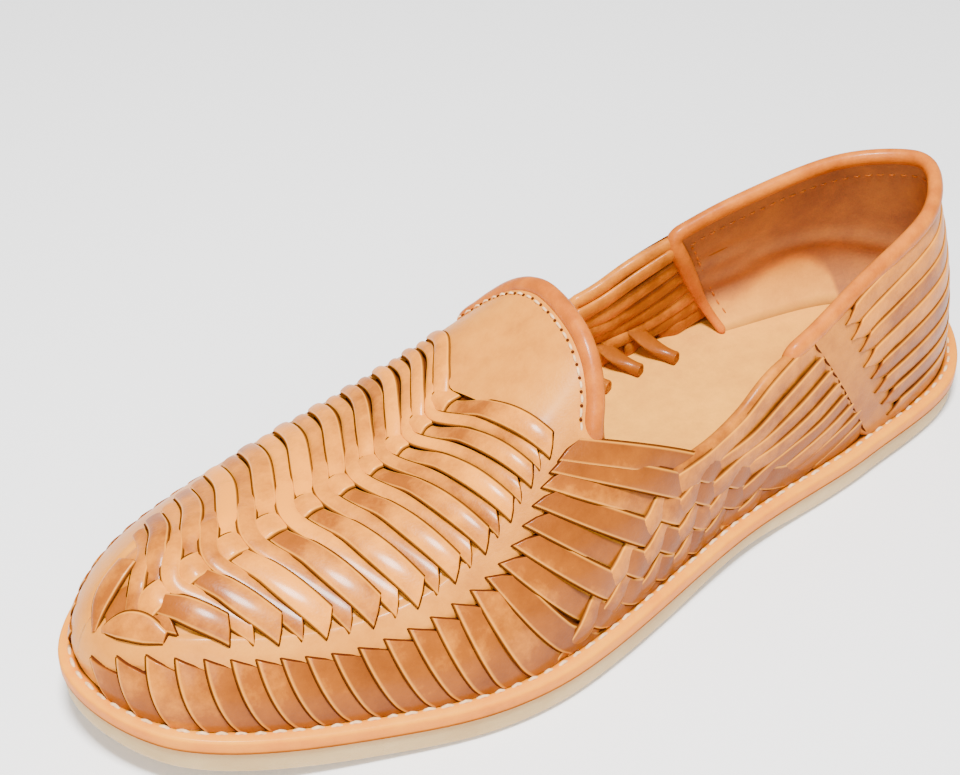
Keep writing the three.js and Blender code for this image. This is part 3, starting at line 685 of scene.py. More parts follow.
class Path:
    """A smooth path through control places, measured along the surface."""

    def __init__(self, stops, surface):
        stops = np.array(stops, float)
        chord = arc_of(surface(stops))
        self.places = smooth_line(np.linspace(0, chord[-1], PATH_SAMPLES), chord, stops)
        self.arc = arc_of(surface(self.places))
        self.length = self.arc[-1]

    def at(self, a):
        inside = read_line(np.clip(a, 0, self.length), self.arc, self.places)
        first = (self.places[3] - self.places[0]) / self.arc[3]
        final = (self.places[-1] - self.places[-4]) / (self.length - self.arc[-4])
        before = np.minimum(a, 0)[..., None] * first
        past = np.maximum(a - self.length, 0)[..., None] * final
        return inside + before + past


def wall_surface(places):
    return last(places[..., 0], places[..., 1])


def plan_surface(places):
    x, y = places[..., 0], places[..., 1]
    return np.stack([x, y, height_at(x, y)], -1)


def as_function(value):
    """A function of the share along a strip, from a table, a function or a number."""
    if isinstance(value, list):
        return Curve(value)
    return value if callable(value) else (lambda share: np.full_like(share, float(value)))


class Strip:
    """How a strip is cut and lies: width, lift of its top, tilt, oblique ends, tone, painted shade across it
    and anchor across.
    """

    def __init__(self, width, level, tilt=0.0, start=(0, 0, 0), end=(0, 0, 0), tone=0.5, lean=0.0, anchor=0.0,
                 rows=STRIP_ROWS, crown=CROWN):
        self.width, self.level, self.tilt, self.tone = (as_function(v) for v in (width, level, tilt, tone))
        self.start, self.end = start, end
        self.lean, self.anchor, self.rows, self.crown = lean, anchor, rows, crown

    def lines(self, length):
        """Place along, offset across and lift of each corner."""
        across, extra, height = STRIP_SECTION.T[:3]
        past, drop, _ = END_ROWS.T
        inside = np.linspace(0, 1, self.rows)
        tau = np.concatenate([0 * past, inside, 0 * past + 1])[:, None]
        reach = np.concatenate([-past[::-1], END_HOLD * (1 - 2 * inside), past])[:, None]
        sink = np.concatenate([drop[::-1], 0 * inside, drop])[:, None]
        head, tail = (np.interp(across, (-1, 0, 1), cut) for cut in (self.start, self.end))
        a = lerp(head, length + tail, tau) + reach
        share = np.clip(a / length, 0, 1)
        offset = (across - self.anchor) * self.width(share) / 2 + extra
        top = np.maximum(height + self.crown * (1 - across**2) - sink, UNDERSIDE)
        lift = self.level(share) + self.tilt(share) * across + np.where(height > UNDERSIDE, top, height)
        return a, offset, lift

    def paint(self, shadow=0.0):
        """Paint of each corner, darkened by a shadow that may change over the strip."""
        across, _, _, pale, dark = STRIP_SECTION.T
        shade = END_ROWS[:, 2]
        inside = np.linspace(0, 1, self.rows)
        share = np.concatenate([0 * shade, inside, 0 * shade + 1])[:, None]
        ends = np.concatenate([shade[::-1], 0 * inside, shade])[:, None]
        paint = np.empty((len(ends), len(across), 3))
        # One side of the strip is painted darker than the other: shade on the side tucked under its
        # neighbour.
        paint[..., 0] = self.tone(share) + self.lean * across - shadow
        paint[..., 1] = pale * (1 - ends)
        paint[..., 2] = np.maximum(dark, ends)
        return paint


def wall_ribbon(maker, stops, strip, flip=1):
    """A strip on the wall, along a path of signed runs and degrees up. flip turns its section over."""
    path = Path(stops, wall_surface)
    a, offset, lift = strip.lines(path.length)
    s, up = np.moveaxis(path.at(a), -1, 0)
    on_path = np.clip(a, PATH_STEP, path.length - PATH_STEP)
    along = unit(wall_surface(path.at(on_path + PATH_STEP)) - wall_surface(path.at(on_path - PATH_STEP)))
    held = np.maximum(up, 0)
    by_run = (last(s + STEP_S, held) - last(s - STEP_S, held)) / (2 * STEP_S)
    low = np.maximum(held - STEP_UP, 0)
    by_up = (last(s, held + STEP_UP) - last(s, low)) / (held + STEP_UP - low)[..., None]
    outward = unit(np.cross(by_run, by_up))
    sideways = np.cross(outward, along) * (flip * offset)[..., None]
    rr, ru, uu = ((p * q).sum(-1) for p, q in ((by_run, by_run), (by_run, by_up), (by_up, by_up)))
    r, u = ((sideways * q).sum(-1) for q in (by_run, by_up))
    determinant = np.maximum(rr * uu - ru**2, 1e-6)
    s = s + (r * uu - u * ru) / determinant
    up = up + (u * rr - r * ru) / determinant
    height = np.where(up > 90, 180 - up, up)
    paint = strip.paint(WELT_SHADE * (1 - smooth(height / WELT_SHADE_UP)))
    maker.grid(lifted(s, np.maximum(up, 0), lift), paint, ring=True, caps=True, keep=up > -1.0)


def plan_ribbon(maker, stops, strip):
    """A strip over the top of the last, along a path read in plan."""
    path = Path(stops, plan_surface)
    a, offset, lift = strip.lines(path.length)
    along = unit(path.at(a + PLAN_STEP) - path.at(a - PLAN_STEP))
    sideways = np.stack([along[..., 1], -along[..., 0]], -1)
    place = path.at(a)
    normal = plan_normal(place[..., 0], place[..., 1])
    steep = (normal[..., :2] * sideways).sum(-1) / normal[..., 2]
    place = place + sideways * (offset / np.sqrt(1 + steep**2))[..., None]
    normal = plan_normal(place[..., 0], place[..., 1])
    maker.grid(plan_surface(place) + normal * lift[..., None], strip.paint(), ring=True, caps=True)


def roll_grid(maker, centres, outward, half, tone, sizes=1.0):
    """A rolled edge or strap: an oval tube along centres, its short axis along outward, with round ends."""
    along = unit(np.gradient(centres, axis=0))
    outward = unit(outward - along * (outward * along).sum(-1, keepdims=True))
    across = np.cross(along, outward)
    turn = turns(ROLL_TURNS)[None, :, None]
    size = np.ones(len(centres)) * sizes
    size[[0, -1]] *= ROLL_ENDS[0]
    size[[1, -2]] *= ROLL_ENDS[1]
    ring = np.cos(turn) * across[:, None] * half[0] + np.sin(turn) * outward[:, None] * half[1]
    maker.sheet(centres[:, None] + ring * size[:, None, None], tone, ring=True, caps=True)


def add_stitches(maker, points, normals, pitch, length, width):
    """Short rounded threads along a line of points, each lying on its normal and dipping at its ends."""
    arc = arc_of(points)
    turn = turns(STITCH_TURNS)[:, None]
    uneven = np.random.default_rng(STITCH_SEED)
    for centre in np.arange(pitch / 2, arc[-1], pitch):
        long = length * uneven.uniform(0.82, 1.1)
        slip = uneven.uniform(-0.15, 0.15)
        rings = []
        for k, size in STITCH_SIZES:
            a = centre + k * long
            normal = unit(read_line(a, arc, normals))
            along = unit(read_line(a + 0.3, arc, points) - read_line(a - 0.3, arc, points) + 1e-9)
            across = np.cross(along, normal)
            middle = read_line(a, arc, points) - normal * abs(k) * width + across * slip
            thread = np.cos(turn) * across + np.sin(turn) * normal * STITCH_FLAT
            rings.append(middle + size * width / 2 * thread)
        maker.sheet(np.array(rings), 0.5, ring=True, caps=True)


def add_holes(maker, points, normals, pitch):
    """Needle holes between stitches: low dark domes, painted shade in the holes."""
    arc = arc_of(points)
    turn = turns(STITCH_TURNS)[:, None]
    for a in np.arange(0, arc[-1], pitch):
        centre = read_line(a, arc, points)
        normal = unit(read_line(a, arc, normals))
        first = unit(np.cross(normal, [0.0, 0.3, 1.0]))
        disc = np.cos(turn) * first + np.sin(turn) * np.cross(normal, first)
        rings = [centre + disc * HOLE_RADIUS * k + normal * rise for k, rise in HOLE_ROWS]
        maker.sheet(np.array(rings), 0.3, 1.0, ring=True, caps=True)


# Materials


class Shader:
    """A short way to write one material's nodes."""

    def __init__(self, name):
        self.material = bpy.data.materials.new(name)
        self.material.use_nodes = True
        self.tree = self.material.node_tree
        self.surface = self.tree.nodes["Principled BSDF"]
        self.where = self.add("ShaderNodeTexCoord").outputs["Object"]

    def add(self, kind, inputs=None, **settings):
        node = self.tree.nodes.new(kind)
        for key, value in settings.items():
            setattr(node, key, value)
        for key, value in (inputs or {}).items():
            self.set(node.inputs[key], value)
        return node

    def set(self, socket, value):
        if isinstance(value, bpy.types.NodeSocket):
            self.tree.links.new(value, socket)
        else:
            socket.default_value = value

    def noise(self, scale, detail=3.0, rough=0.55):
        inputs = {"Vector": self.where, "Scale": scale, "Detail": detail, "Roughness": rough}
        return self.add("ShaderNodeTexNoise", inputs).outputs["Fac"]

    def math(self, operation, a, b):
        return self.add("ShaderNodeMath", {0: a, 1: b}, operation=operation).outputs[0]

    def span(self, value, low, high, to_low=0.0, to_high=1.0):
        inputs = {"Value": value, "From Min": low, "From Max": high, "To Min": to_low, "To Max": to_high}
        return self.add("ShaderNodeMapRange", inputs).outputs["Result"]

    def mix(self, factor, a, b):
        node = self.add("ShaderNodeMix", data_type="RGBA")
        for key, value in ((0, factor), (6, a), (7, b)):
            self.set(node.inputs[key], value)
        return node.outputs[2]

    def paint(self):
        colour = self.add("ShaderNodeAttribute", attribute_name="paint").outputs["Color"]
        split = self.add("ShaderNodeSeparateColor", {"Color": colour})
        return [split.outputs[k] for k in ("Red", "Green", "Blue")]

    def bump(self, height, strength, distance):
        node = self.add("ShaderNodeBump", {"Height": height, "Strength": strength, "Distance": distance})
        self.set(self.surface.inputs["Normal"], node.outputs["Normal"])

    def put(self, **inputs):
        for key, value in inputs.items():
            self.set(self.surface.inputs[key.replace("_", " ")], value)


def rgb(red, green, blue):
    return (red, green, blue, 1.0)


def leather(name, deep, base, light, rough, coat, mottle):
    """Smooth leather: clouded tone, fine pores, pale cut edges, and painted crevice shade and dark seams from
    the paint.
    """
    shader = Shader(name)
    shade, edge, dark = shader.paint()
    clouds, patches, specks = (shader.noise(*row[:3]) for row in (CLOUDS, PATCHES, SPECKS))
    swings = ((clouds, CLOUDS[3] * mottle), (patches, PATCHES[3] * mottle), (specks, SPECKS[3]))
    for noise, swing in swings:
        shade = shader.math("ADD", shade, shader.span(noise, 0.3, 0.7, -swing, swing))
    low = shader.mix(shader.span(shade, 0.0, 0.5), rgb(*deep), rgb(*base))
    colour = shader.mix(shader.span(shade, 0.5, 1.0), low, rgb(*light))
    colour = shader.mix(shader.math("MULTIPLY", edge, PALE_EDGE_SHARE), colour, rgb(*PALE_EDGE))
    colour = shader.mix(dark, colour, rgb(*JOINT_AND_CREVICE_SHADE))
    inputs = {"Vector": shader.where, "Scale": PORE_SCALE}
    pores = shader.add("ShaderNodeTexVoronoi", inputs).outputs["Distance"]
    height = shader.math("ADD", shader.math("MULTIPLY", pores, PORE_SHARE), shader.noise(*CREASES))
    roughness = shader.span(patches, 0.25, 0.75, rough + ROUGHNESS_SWING[0], rough + ROUGHNESS_SWING[1])
    shader.put(Base_Color=rgb(*base), Roughness=rough, Coat_Weight=coat, Specular_IOR_Level=SPECULAR)
    shader.put(Base_Color=colour, Roughness=roughness, Coat_Roughness=COAT_ROUGHNESS)
    shader.put(Coat_Weight=shader.span(dark, 0.0, MATT_FROM, coat, 0.0))
    shader.put(Specular_IOR_Level=shader.span(dark, 0.0, MATT_FROM, SPECULAR, 0.0))
    shader.bump(height, *LEATHER_BUMP)
    return shader.material


def crepe_material():
    shader = Shader("crepe_rubber")
    dark = shader.paint()[2]
    clouds = shader.noise(40.0)
    colour = shader.mix(shader.span(clouds, 0.3, 0.7), rgb(0.48, 0.30, 0.11), rgb(0.62, 0.43, 0.20))
    colour = shader.mix(shader.math("MULTIPLY", dark, 0.7), colour, rgb(0.50, 0.22, 0.05))
    shader.put(Base_Color=rgb(0.92, 0.78, 0.45))
    shader.put(Base_Color=colour, Roughness=0.62, Subsurface_Weight=0.3, Subsurface_Scale=0.003)
    shader.put(Subsurface_Radius=(1.0, 0.85, 0.55))
    shader.bump(shader.noise(420.0, 6.0, 0.7), 0.5, 0.0008)
    return shader.material


def thread_material():
    shader = Shader("thread")
    shade = shader.noise(700.0)
    colour = shader.mix(shader.span(shade, 0.3, 0.7), rgb(0.86, 0.56, 0.28), rgb(0.66, 0.34, 0.12))
    shader.put(Base_Color=rgb(0.88, 0.64, 0.36))
    shader.put(Base_Color=colour, Roughness=0.75)
    shader.bump(shader.noise(2500.0, 2.0), 0.4, 0.0003)
    return shader.material


def floor_material():
    shader = Shader("floor")
    shader.put(Base_Color=rgb(0.96, 0.96, 0.96), Roughness=0.6)
    return shader.material


STRIPS, APRON, BINDING, LINING, EDGE = (leather(name, *look) for name, look in LEATHERS.items())
CREPE = crepe_material()
THREAD = thread_material()


# The sole


def tread(x):
    t = np.clip((x - ARCH[0]) / (ARCH[1] - ARCH[0]), 0, 1)
    return spring(x) + ARCH_RISE * np.sin(np.pi * t) ** 2


def raised(level):
    return lambda x: level + spring(x)


def cover(maker, ring, tone):
    """Closes a ring with a ladder of quads from side to side."""
    n = len(ring)
    half = n // 2
    outer = ring[: half + 1]
    inner = ring[[0] + list(range(n - 1, half - 1, -1))]
    maker.sheet(lerp(outer[:, None], inner[:, None], np.linspace(0, 1, COVER_STEPS)[None, :, None]), tone)


def sole_layer(rows, base, top, cover_tones):
    """A layer of the sole between two surfaces, its side given by rows, closed below and above."""
    half = (1 - np.cos(np.pi * np.arange(SOLE_STATIONS + 1) / SOLE_STATIONS)) / 2
    share = np.concatenate([half, -half[-2:0:-1]])
    rings = []
    for inset, height, _, _ in rows:
        loop = Loop(inset)
        x, y = loop.at(share * loop.full)
        rings.append(np.stack([x, y, lerp(base(x), top(x), height)], -1))
    rings = np.array(rings)
    dark, tone = (np.array([row[k] for row in rows])[:, None] for k in (2, 3))
    maker = Maker()
    maker.sheet(rings, tone, dark, ring=True)
    for ring, cover_tone in zip((rings[0], rings[-1]), cover_tones):
        cover(maker, ring, cover_tone)
    return maker


def make_sole():
    maker = sole_layer(CREPE_ROWS, tread, raised(OUTSOLE_THICK), (0.5, 0.5))
    make_piece("outsole_look", maker, CREPE, "crepe_rubber", "outsole")
    maker = sole_layer(EDGE_ROWS, raised(MIDSOLE_BASE - GAP), raised(MIDSOLE_TOP), (0.5, 0.5))
    make_piece("midsole_look", maker, EDGE, "sole_leather", "midsole")
    maker = sole_layer(INSOLE_ROWS, raised(FEATHER_BASE), raised(FEATHER_BASE + INSOLE_THICK), (0.7, 0.88))
    make_piece("insole_look", maker, LINING, "lining_leather", "insole")


def make_welt_stitches():
    loop = Loop(WELT_STITCH_INSET)
    x, y = loop.at(np.linspace(-loop.full, loop.full, 900))
    points = np.stack([x, y, MIDSOLE_TOP + WELT_STITCH_LIFT + spring(x)], -1)
    maker = Maker()
    add_stitches(maker, points, np.tile([0.0, 0.0, 1.0], (len(x), 1)), **WELT_STITCH)
    make_piece("welt_stitches", maker, THREAD, "sole_leather")


# The upper's wall and woven sides


def make_wall():
    maker = Maker()
    start = TAB_RUNS["back"][0]
    run = np.linspace(start, 2 * FULL - start, 220)[:, None]
    vamp = np.linspace(0.01, start, 90)[:, None], np.linspace(0, 180, 91)
    rear = run, (top_up(run) - WALL_BELOW) * np.linspace(0, 1, 24)
    for s, up in (vamp, rear):
        for lift, tone, dark in WALL_FACES:
            maker.sheet(lifted(s, up, lift), tone, dark)
    make_piece("upper_wall", maker, STRIPS, "woven_leather", "upper")


def side_path(k):
    """Stops of side strip k's toe-side edge, from the welt to its tip: runs and degrees up."""
    tip, foot = SIDE_TIP(k), SIDE_FOOT(k)
    share = np.linspace(0, 1, SIDE_STOPS)
    return np.stack([lerp(foot, tip, share**FOOT_EASE), share * (BAND_LOW(tip) + TIP_REACH(tip))], -1)


def crossing(path_a, path_b):
    """Shares along two paths on the wall where they cross, or None."""
    fine = np.linspace(0, 1, CROSSING_SAMPLES)
    lines = []
    for stops in (path_a, path_b):
        path = Path(stops, wall_surface)
        lines.append(wall_surface(path.at(fine * path.length)))
    gaps = np.linalg.norm(lines[0][:, None] - lines[1][None], axis=-1)
    i, j = np.unravel_index(gaps.argmin(), gaps.shape)
    if gaps[i, j] > CROSSING_REACH or min(i, j) == 0:
        return None
    return fine[i], fine[j]


def level_through(knots, ends):
    """Lift along a strip through crossings: (share, level) knots between its two end levels."""
    rows = [(0.0, ends[0])] + sorted(knots) + [(1.0, ends[1])]
    kept = [rows[0]]
    for row in rows[1:]:
        if row[0] - kept[-1][0] > KNOT_GAP:
            kept.append(row)
    return Curve(kept)


def weave_levels(backs, forwards):
    """Lift knots of both families of strips where they cross, over and under by turns."""
    knots_back = [[] for _ in backs]
    knots_forward = [[] for _ in forwards]
    for k in range(FIRST_WOVEN, len(backs)):
        for j, stops in enumerate(forwards):
            met = crossing(backs[k], stops)
            if met is None:
                continue
            forward_over = (j + 1 + k) % 2 == 0
            knots_back[k].append((met[0], UNDER if forward_over else OVER))
            knots_forward[j].append((met[1], OVER if forward_over else UNDER))
    return knots_back, knots_forward


def make_sides():
    rng = np.random.default_rng(3)
    maker = Maker()
    forwards = [np.array(stops, float) for stops in FORWARD_STRIPS]
    for side in (1, -1):
        mirror = np.array([side, 1.0])
        reach = np.array([1.0, 1.0 if side > 0 else INNER_TIPS])
        backs = [side_path(k) * reach for k in range(STRIP_COUNT)]
        knots_back, knots_forward = weave_levels(backs, forwards)
        *near_tip, tip = TIP_LEVELS[side]
        for k in range(STRIP_COUNT):
            knots = [row for row in knots_back[k] if row[0] < LAST_CROSSING] + list(zip(TIP_SHARES, near_tip))
            tone = lerp(*SIDE_TONES, smooth(k / SIDE_TONE_STRIPS)) + rng.uniform(*SIDE_SPREAD)
            strip = Strip(level=level_through(knots, (SIDE_FOOT_LEVEL, tip)), start=SIDE_FOOT_CUT, tone=tone,
                          lean=0.1, anchor=1.0, **SIDE_KINDS["woven" if k >= FIRST_WOVEN else "plain"])
            wall_ribbon(maker, backs[k] * mirror, strip, flip=side)
        for knots, stops in zip(knots_forward, forwards):
            first = min((row[0] for row in knots), default=0.5)
            knots = knots + [(first * share, FORWARD_LEVEL) for share in FORWARD_HOLD]
            strip = Strip(FORWARD_WIDTH, level_through(knots, FORWARD_ENDS), FORWARD_TILT, end=FORWARD_CUT,
                          tone=FORWARD_TONE + rng.uniform(*FORWARD_SPREAD), lean=-0.06, rows=FORWARD_ROWS)
            wall_ribbon(maker, stops * mirror, strip, flip=side)
    make_piece("woven_sides", maker, STRIPS, "woven_leather")


# The woven plug


def band_high(s):
    """Degrees up of the band's upper edge at a signed run."""
    run = np.abs(s)
    return BAND_HIGH(run) + np.where(s < 0, INNER_RAISE(run), 0)


def band_edge_at(x, side):
    """Place in plan on the band's upper edge at some x."""
    s = side * np.linspace(0, BAND_END, 400)
    edge = last(s, band_high(s))
    order = np.argsort(edge[:, 0])
    return np.array([x, np.interp(x, edge[order, 0], edge[order, 1])])


def warp_y(x):
    (x0, y0), (x1, y1) = WARP_LINE
    return lerp(y0, y1, (x - x0) / (x1 - x0))


def plug_path(q):
    """Stops in plan of plug strip q, from the inner band over the ridge to the outer band."""
    tip_x = PLUG_X(q)
    apex_x = tip_x + APEX_AHEAD
    far = band_edge_at(apex_x - FAR_BACK, -1)
    apex = np.array([apex_x, warp_y(apex_x)])
    near = band_edge_at(tip_x, 1) + TIP_CENTRE
    stops = [far, lerp(far, apex, FAR_BOW), lerp(far, apex, FAR_BEND), apex, lerp(apex, near, NEAR_BOW), near]
    if q == 0:
        stops[5] = lerp(apex, near, FIRST_REACH)
        stops[4] = lerp(apex, stops[5], FIRST_BEND)
    return np.array(stops)


def make_plug():
    rng = np.random.default_rng(11)
    maker = Maker()
    warp_knots = []
    for q in range(PLUG_COUNT):
        kind = PLUG_KINDS["over_band" if q % 2 == 1 else "over_warp"]
        inside = 0 < q < PLUG_COUNT - 1
        gap = float(PLUG_X(q - 0.5) - PLUG_X(q + 0.5)) * 2 if inside else PLUG_END_GAP
        tone = PLUG_TONE + rng.uniform(*PLUG_SPREAD) - (SECOND_DARKER if q == 1 else 0)
        stops = plug_path(q)
        strip = Strip(lambda share, width=Curve(kind["width"]), gap=gap: width(share) * gap, kind["level"],
                      start=PLUG_START, end=kind["end"], rows=PLUG_ROWS, crown=PLUG_CROWN,
                      tone=lambda share, shade=Curve(kind["shade"]), tone=tone: tone - shade(share))
        plan_ribbon(maker, stops, strip)
        warp_knots.append((float(stops[3][0]), kind["warp"]))
    add_warp(maker, warp_knots)
    for stops, width, level, tone in TOE_STRIPS:
        plan_ribbon(maker, stops, Strip(width, level, tone=tone))
    make_piece("woven_plug", maker, STRIPS, "woven_leather")


def add_warp(maker, knots):
    """The strip along the ridge that holds the plug strips: over one kind and under the other."""
    places = [x for x, _ in knots]
    x = np.linspace(max(places) + WARP_PAST[0], min(places) - WARP_PAST[1], WARP_STOPS)
    stops = np.stack([x, warp_y(x)], -1)
    path = Path(stops, plan_surface)
    rows = []
    for x, lift in knots:
        nearest = np.abs(path.places[:, 0] - x).argmin()
        rows.append((path.arc[nearest] / path.length, lift))
    level = level_through(rows, WARP_ENDS)
    plan_ribbon(maker, stops, Strip(WARP_WIDTH, level, tone=WARP_TONE, rows=WARP_ROWS))


# The apron: the band round the vamp and the throat tab


def make_apron():
    maker = Maker()
    count, steps = BAND_GRID
    s = np.concatenate([np.linspace(-BAND_END, -0.02, count), np.linspace(0.02, BAND_END, count)])
    low = lerp(TOE_REACH, BAND_PROFILE[0][0], smooth(np.abs(s) / TOE_REACH_RUN))
    across = np.linspace(low, np.where(s > 0, BAND_PROFILE[-1][0], BAND_INNER_EDGE), steps).T
    s = s[:, None]
    up = np.maximum(lerp(BAND_LOW(np.abs(s)), band_high(s), across), 0)
    tone = lerp(*BAND_TONES, smooth((np.abs(s) - BAND_TONE_RUN[0]) / BAND_TONE_RUN[1]))
    maker.sheet(lifted(s, up, np.interp(across, *zip(*BAND_PROFILE))), tone)
    add_tab(maker)
    make_piece("apron_look", maker, APRON, "apron_leather", "apron")


def tab_place(side, along, across):
    """Signed run and degrees up of the tab: along from front to throat, across from the band to the ridge."""
    band, top = (lerp(front, back, along) for front, back in zip(TAB_RUNS["front"], TAB_RUNS["back"]))
    ease = 1 - (1 - across) ** lerp(1, TAB_ROUND, np.clip(along, 0, 1))
    return side * lerp(band, top, ease), lerp(BAND_HIGH(np.clip(band, 0, BAND_END)), 90, across)


def add_tab(maker):
    """The tab's two faces, each one sheet over the ridge."""
    along = np.linspace(-0.15, 1.0, 44)[:, None]
    across = np.linspace(-0.25, 1.0, 36)[None, :]
    outer, inner = (tab_place(side, along, across) for side in (1, -1))
    s, up = (np.concatenate([a, b[:, ::-1][:, 1:]], 1) for a, b in zip(outer, inner))
    middle = across.size - 1
    for lift, tone in TAB_FACES:
        points = lifted(s, np.minimum(up, TAB_TOP), lift)
        points[:, middle] = (points[:, middle - 1] + points[:, middle + 1]) / 2
        maker.sheet(points, tone)


def tab_edge(inset):
    """Points and normals along the tab's back edge, some mm inside it, from one band to the other."""
    points, normals = [], []
    for side in (1, -1):
        shares = np.array(TAB_EDGE_SHARES)
        s, up = tab_place(side, np.ones_like(shares), shares)
        s = np.concatenate([[side * (TAB_RUNS["back"][0] + TAB_EDGE_FOOT[0])], s])[::side]
        up = np.concatenate([[BAND_LOW(BAND_END) + TAB_EDGE_FOOT[1]], up])[::side]
        lift = np.array([TAB_EDGE_TUCK] + [TAB_EDGE_LIFT] * len(shares))[::side]
        points.append(lifted(s, up, lift))
        normals.append(last_normal(s, up))
    points, normals = np.concatenate(points), np.concatenate(normals)
    arc = arc_of(points)
    at = np.linspace(0, arc[-1], TAB_EDGE_POINTS)
    points, normals = smooth_line(at, arc, points), unit(smooth_line(at, arc, normals))
    inward = unit(np.cross(unit(np.gradient(points, axis=0)), normals))
    return points + inward * np.sign(inward[:, 0].mean()) * inset, normals


def make_tab_binding():
    maker = Maker()
    roll_grid(maker, *tab_edge(TAB_BINDING_INSET), BINDING_HALF, TAB_BINDING_TONE)
    make_piece("tab_binding_look", maker, BINDING, "binding_leather", "tab_binding")


def make_tab_stitches():
    points, normals = (line[TAB_STITCH_TRIM] for line in tab_edge(TAB_STITCH_INSET))
    points = points + normals * TAB_STITCH_LIFT
    maker = Maker()
    add_stitches(maker, points, normals, **TAB_STITCH)
    make_piece("tab_stitches", maker, THREAD, "apron_leather")
    holes = Maker()
    add_holes(holes, points - normals * HOLE_SINK, normals, TAB_STITCH["pitch"])
    make_piece("tab_stitch_holes", holes, APRON, "apron_leather")


# Heel panels and strips


def make_panel(side, name):
    share = np.linspace(0, 1, 30)[:, None]
    across = np.linspace(-PANEL_RIM, 1 + PANEL_RIM, 13)[None, :]
    run = lerp(edge_run(PANEL_FRONT, share), edge_run(PANEL_BACK, share), across)
    rim = np.maximum(np.abs(across - 0.5) - 0.5, 0) / PANEL_RIM
    maker = Maker()
    tone = PANEL_TONE - PANEL_FOOT_DARKER * (1 - smooth(share / PANEL_FOOT))
    maker.sheet(lifted(side * run, share * TOP_UP(run), PANEL_LIFT - PANEL_RIM_DROP * rim**2), tone)
    for stops in FORWARD_STRIPS:
        add_slot(maker, side, stops[0][1])
    make_piece("heel_panel_look_" + name, maker, APRON, "apron_leather", "heel_panel_" + name)


def add_slot(maker, side, up):
    """A slit in the panel's front edge, where a strip comes out, painted dark as shade in the slit."""
    place = np.linspace(-1, 1, 7)
    share = np.clip((up + place / 2 * SLOT["length"]) / TOP_UP(SLOT["run"]), 0.01, 0.98)
    run = edge_run(PANEL_FRONT, share) + SLOT["ahead"] + SLOT["bow"] * place**2
    across = np.array([-0.5, 0.0, 0.5]) * SLOT["width"]
    s, up = side * (run[:, None] + across), (share * TOP_UP(run))[:, None]
    maker.sheet(lifted(s, up, PANEL_LIFT - SLOT["sink"]), SLOT["tone"], 1.0)


def make_heel():
    rng = np.random.default_rng(5)
    maker = Maker()
    for j in range(HEEL_COUNT):
        share = (j + HEEL_CENTRE) / HEEL_COUNT
        front = edge_run(PANEL_BACK, share) + HEEL_START + rng.uniform(-1, 1)
        runs = np.linspace(front, 2 * FULL - front, 17)
        tone = HEEL_TONE + rng.uniform(*HEEL_SPREAD)
        strip = Strip(HEEL_WIDTH, HEEL_LEVEL, tilt=0.4, tone=tone, lean=0.05, rows=110, **HEEL_CUTS)
        wall_ribbon(maker, np.stack([runs, share * HEEL_TOP * top_up(runs)], -1), strip)
    make_piece("woven_heel", maker, STRIPS, "woven_leather")


# Collar binding and lining


def fillet(share):
    """How far the lining is drawn in over the insole, by share of its height."""
    return FILLET["reach"] * np.clip(1 - (share - FILLET["foot"]) / FILLET["height"], 0, 1) ** 2


def front_edge(side, shares, lift, back=0.0):
    """Points and normals down the front edge of the counter lining."""
    run = edge_run(COLLAR_FRONT[side], shares) + back
    s, up = run if side > 0 else 2 * FULL - run, shares * TOP_UP(run)
    return lifted(s, up, lift - fillet(shares)), last_normal(s, up)


def collar_runs(count, inset=0):
    """Runs along the collar, from its outer front edge round the heel to the inner one."""
    return np.linspace(COLLAR_FRONT[1][0] + inset, 2 * FULL - COLLAR_FRONT[-1][0] - inset, count)


def make_collar_binding():
    run = collar_runs(160)
    up = top_up(run)
    points = lifted(run, up, COLLAR_BINDING_LIFT)
    points = points + unit(points - lifted(run, up - 2, COLLAR_BINDING_LIFT)) * BINDING_PAST
    shares = np.linspace(*FRONT_ROLL_SHARES, 12)
    taper = lerp(FRONT_ROLL_FOOT, 1.0, smooth(shares / FRONT_ROLL_GROWS))
    outer, outer_normals = front_edge(1, shares, FRONT_ROLL_LIFT)
    inner, inner_normals = front_edge(-1, shares[::-1], FRONT_ROLL_LIFT)
    line = np.concatenate([outer, points, inner])
    facing = np.concatenate([outer_normals, last_normal(run, up), inner_normals])
    size = np.concatenate([taper, np.ones(len(run)), taper[::-1]])[:, None]
    line = rounded_line(even_line(np.concatenate([line, facing, size], 1), 1.2), 3)
    maker = Maker()
    roll_grid(maker, line[:, :3], line[:, 3:6], BINDING_HALF, COLLAR_BINDING_TONE, line[:, 6])
    make_piece("collar_binding_look", maker, BINDING, "binding_leather", "collar_binding")


def make_collar_stitches():
    maker = Maker()
    run = collar_runs(200, 5)
    up = top_up(run) - COLLAR_STITCH_BELOW
    lines = [(lifted(run, up, COLLAR_STITCH_LIFT), last_normal(run, up))]
    shares = np.linspace(0.12, 0.88, 40)
    lines += [front_edge(side, shares, COLLAR_STITCH_LIFT, COLLAR_STITCH_BACK) for side in (1, -1)]
    for points, normals in lines:
        add_stitches(maker, points, -normals, **COLLAR_STITCH)
    make_piece("collar_stitches", maker, BINDING, "lining_leather")


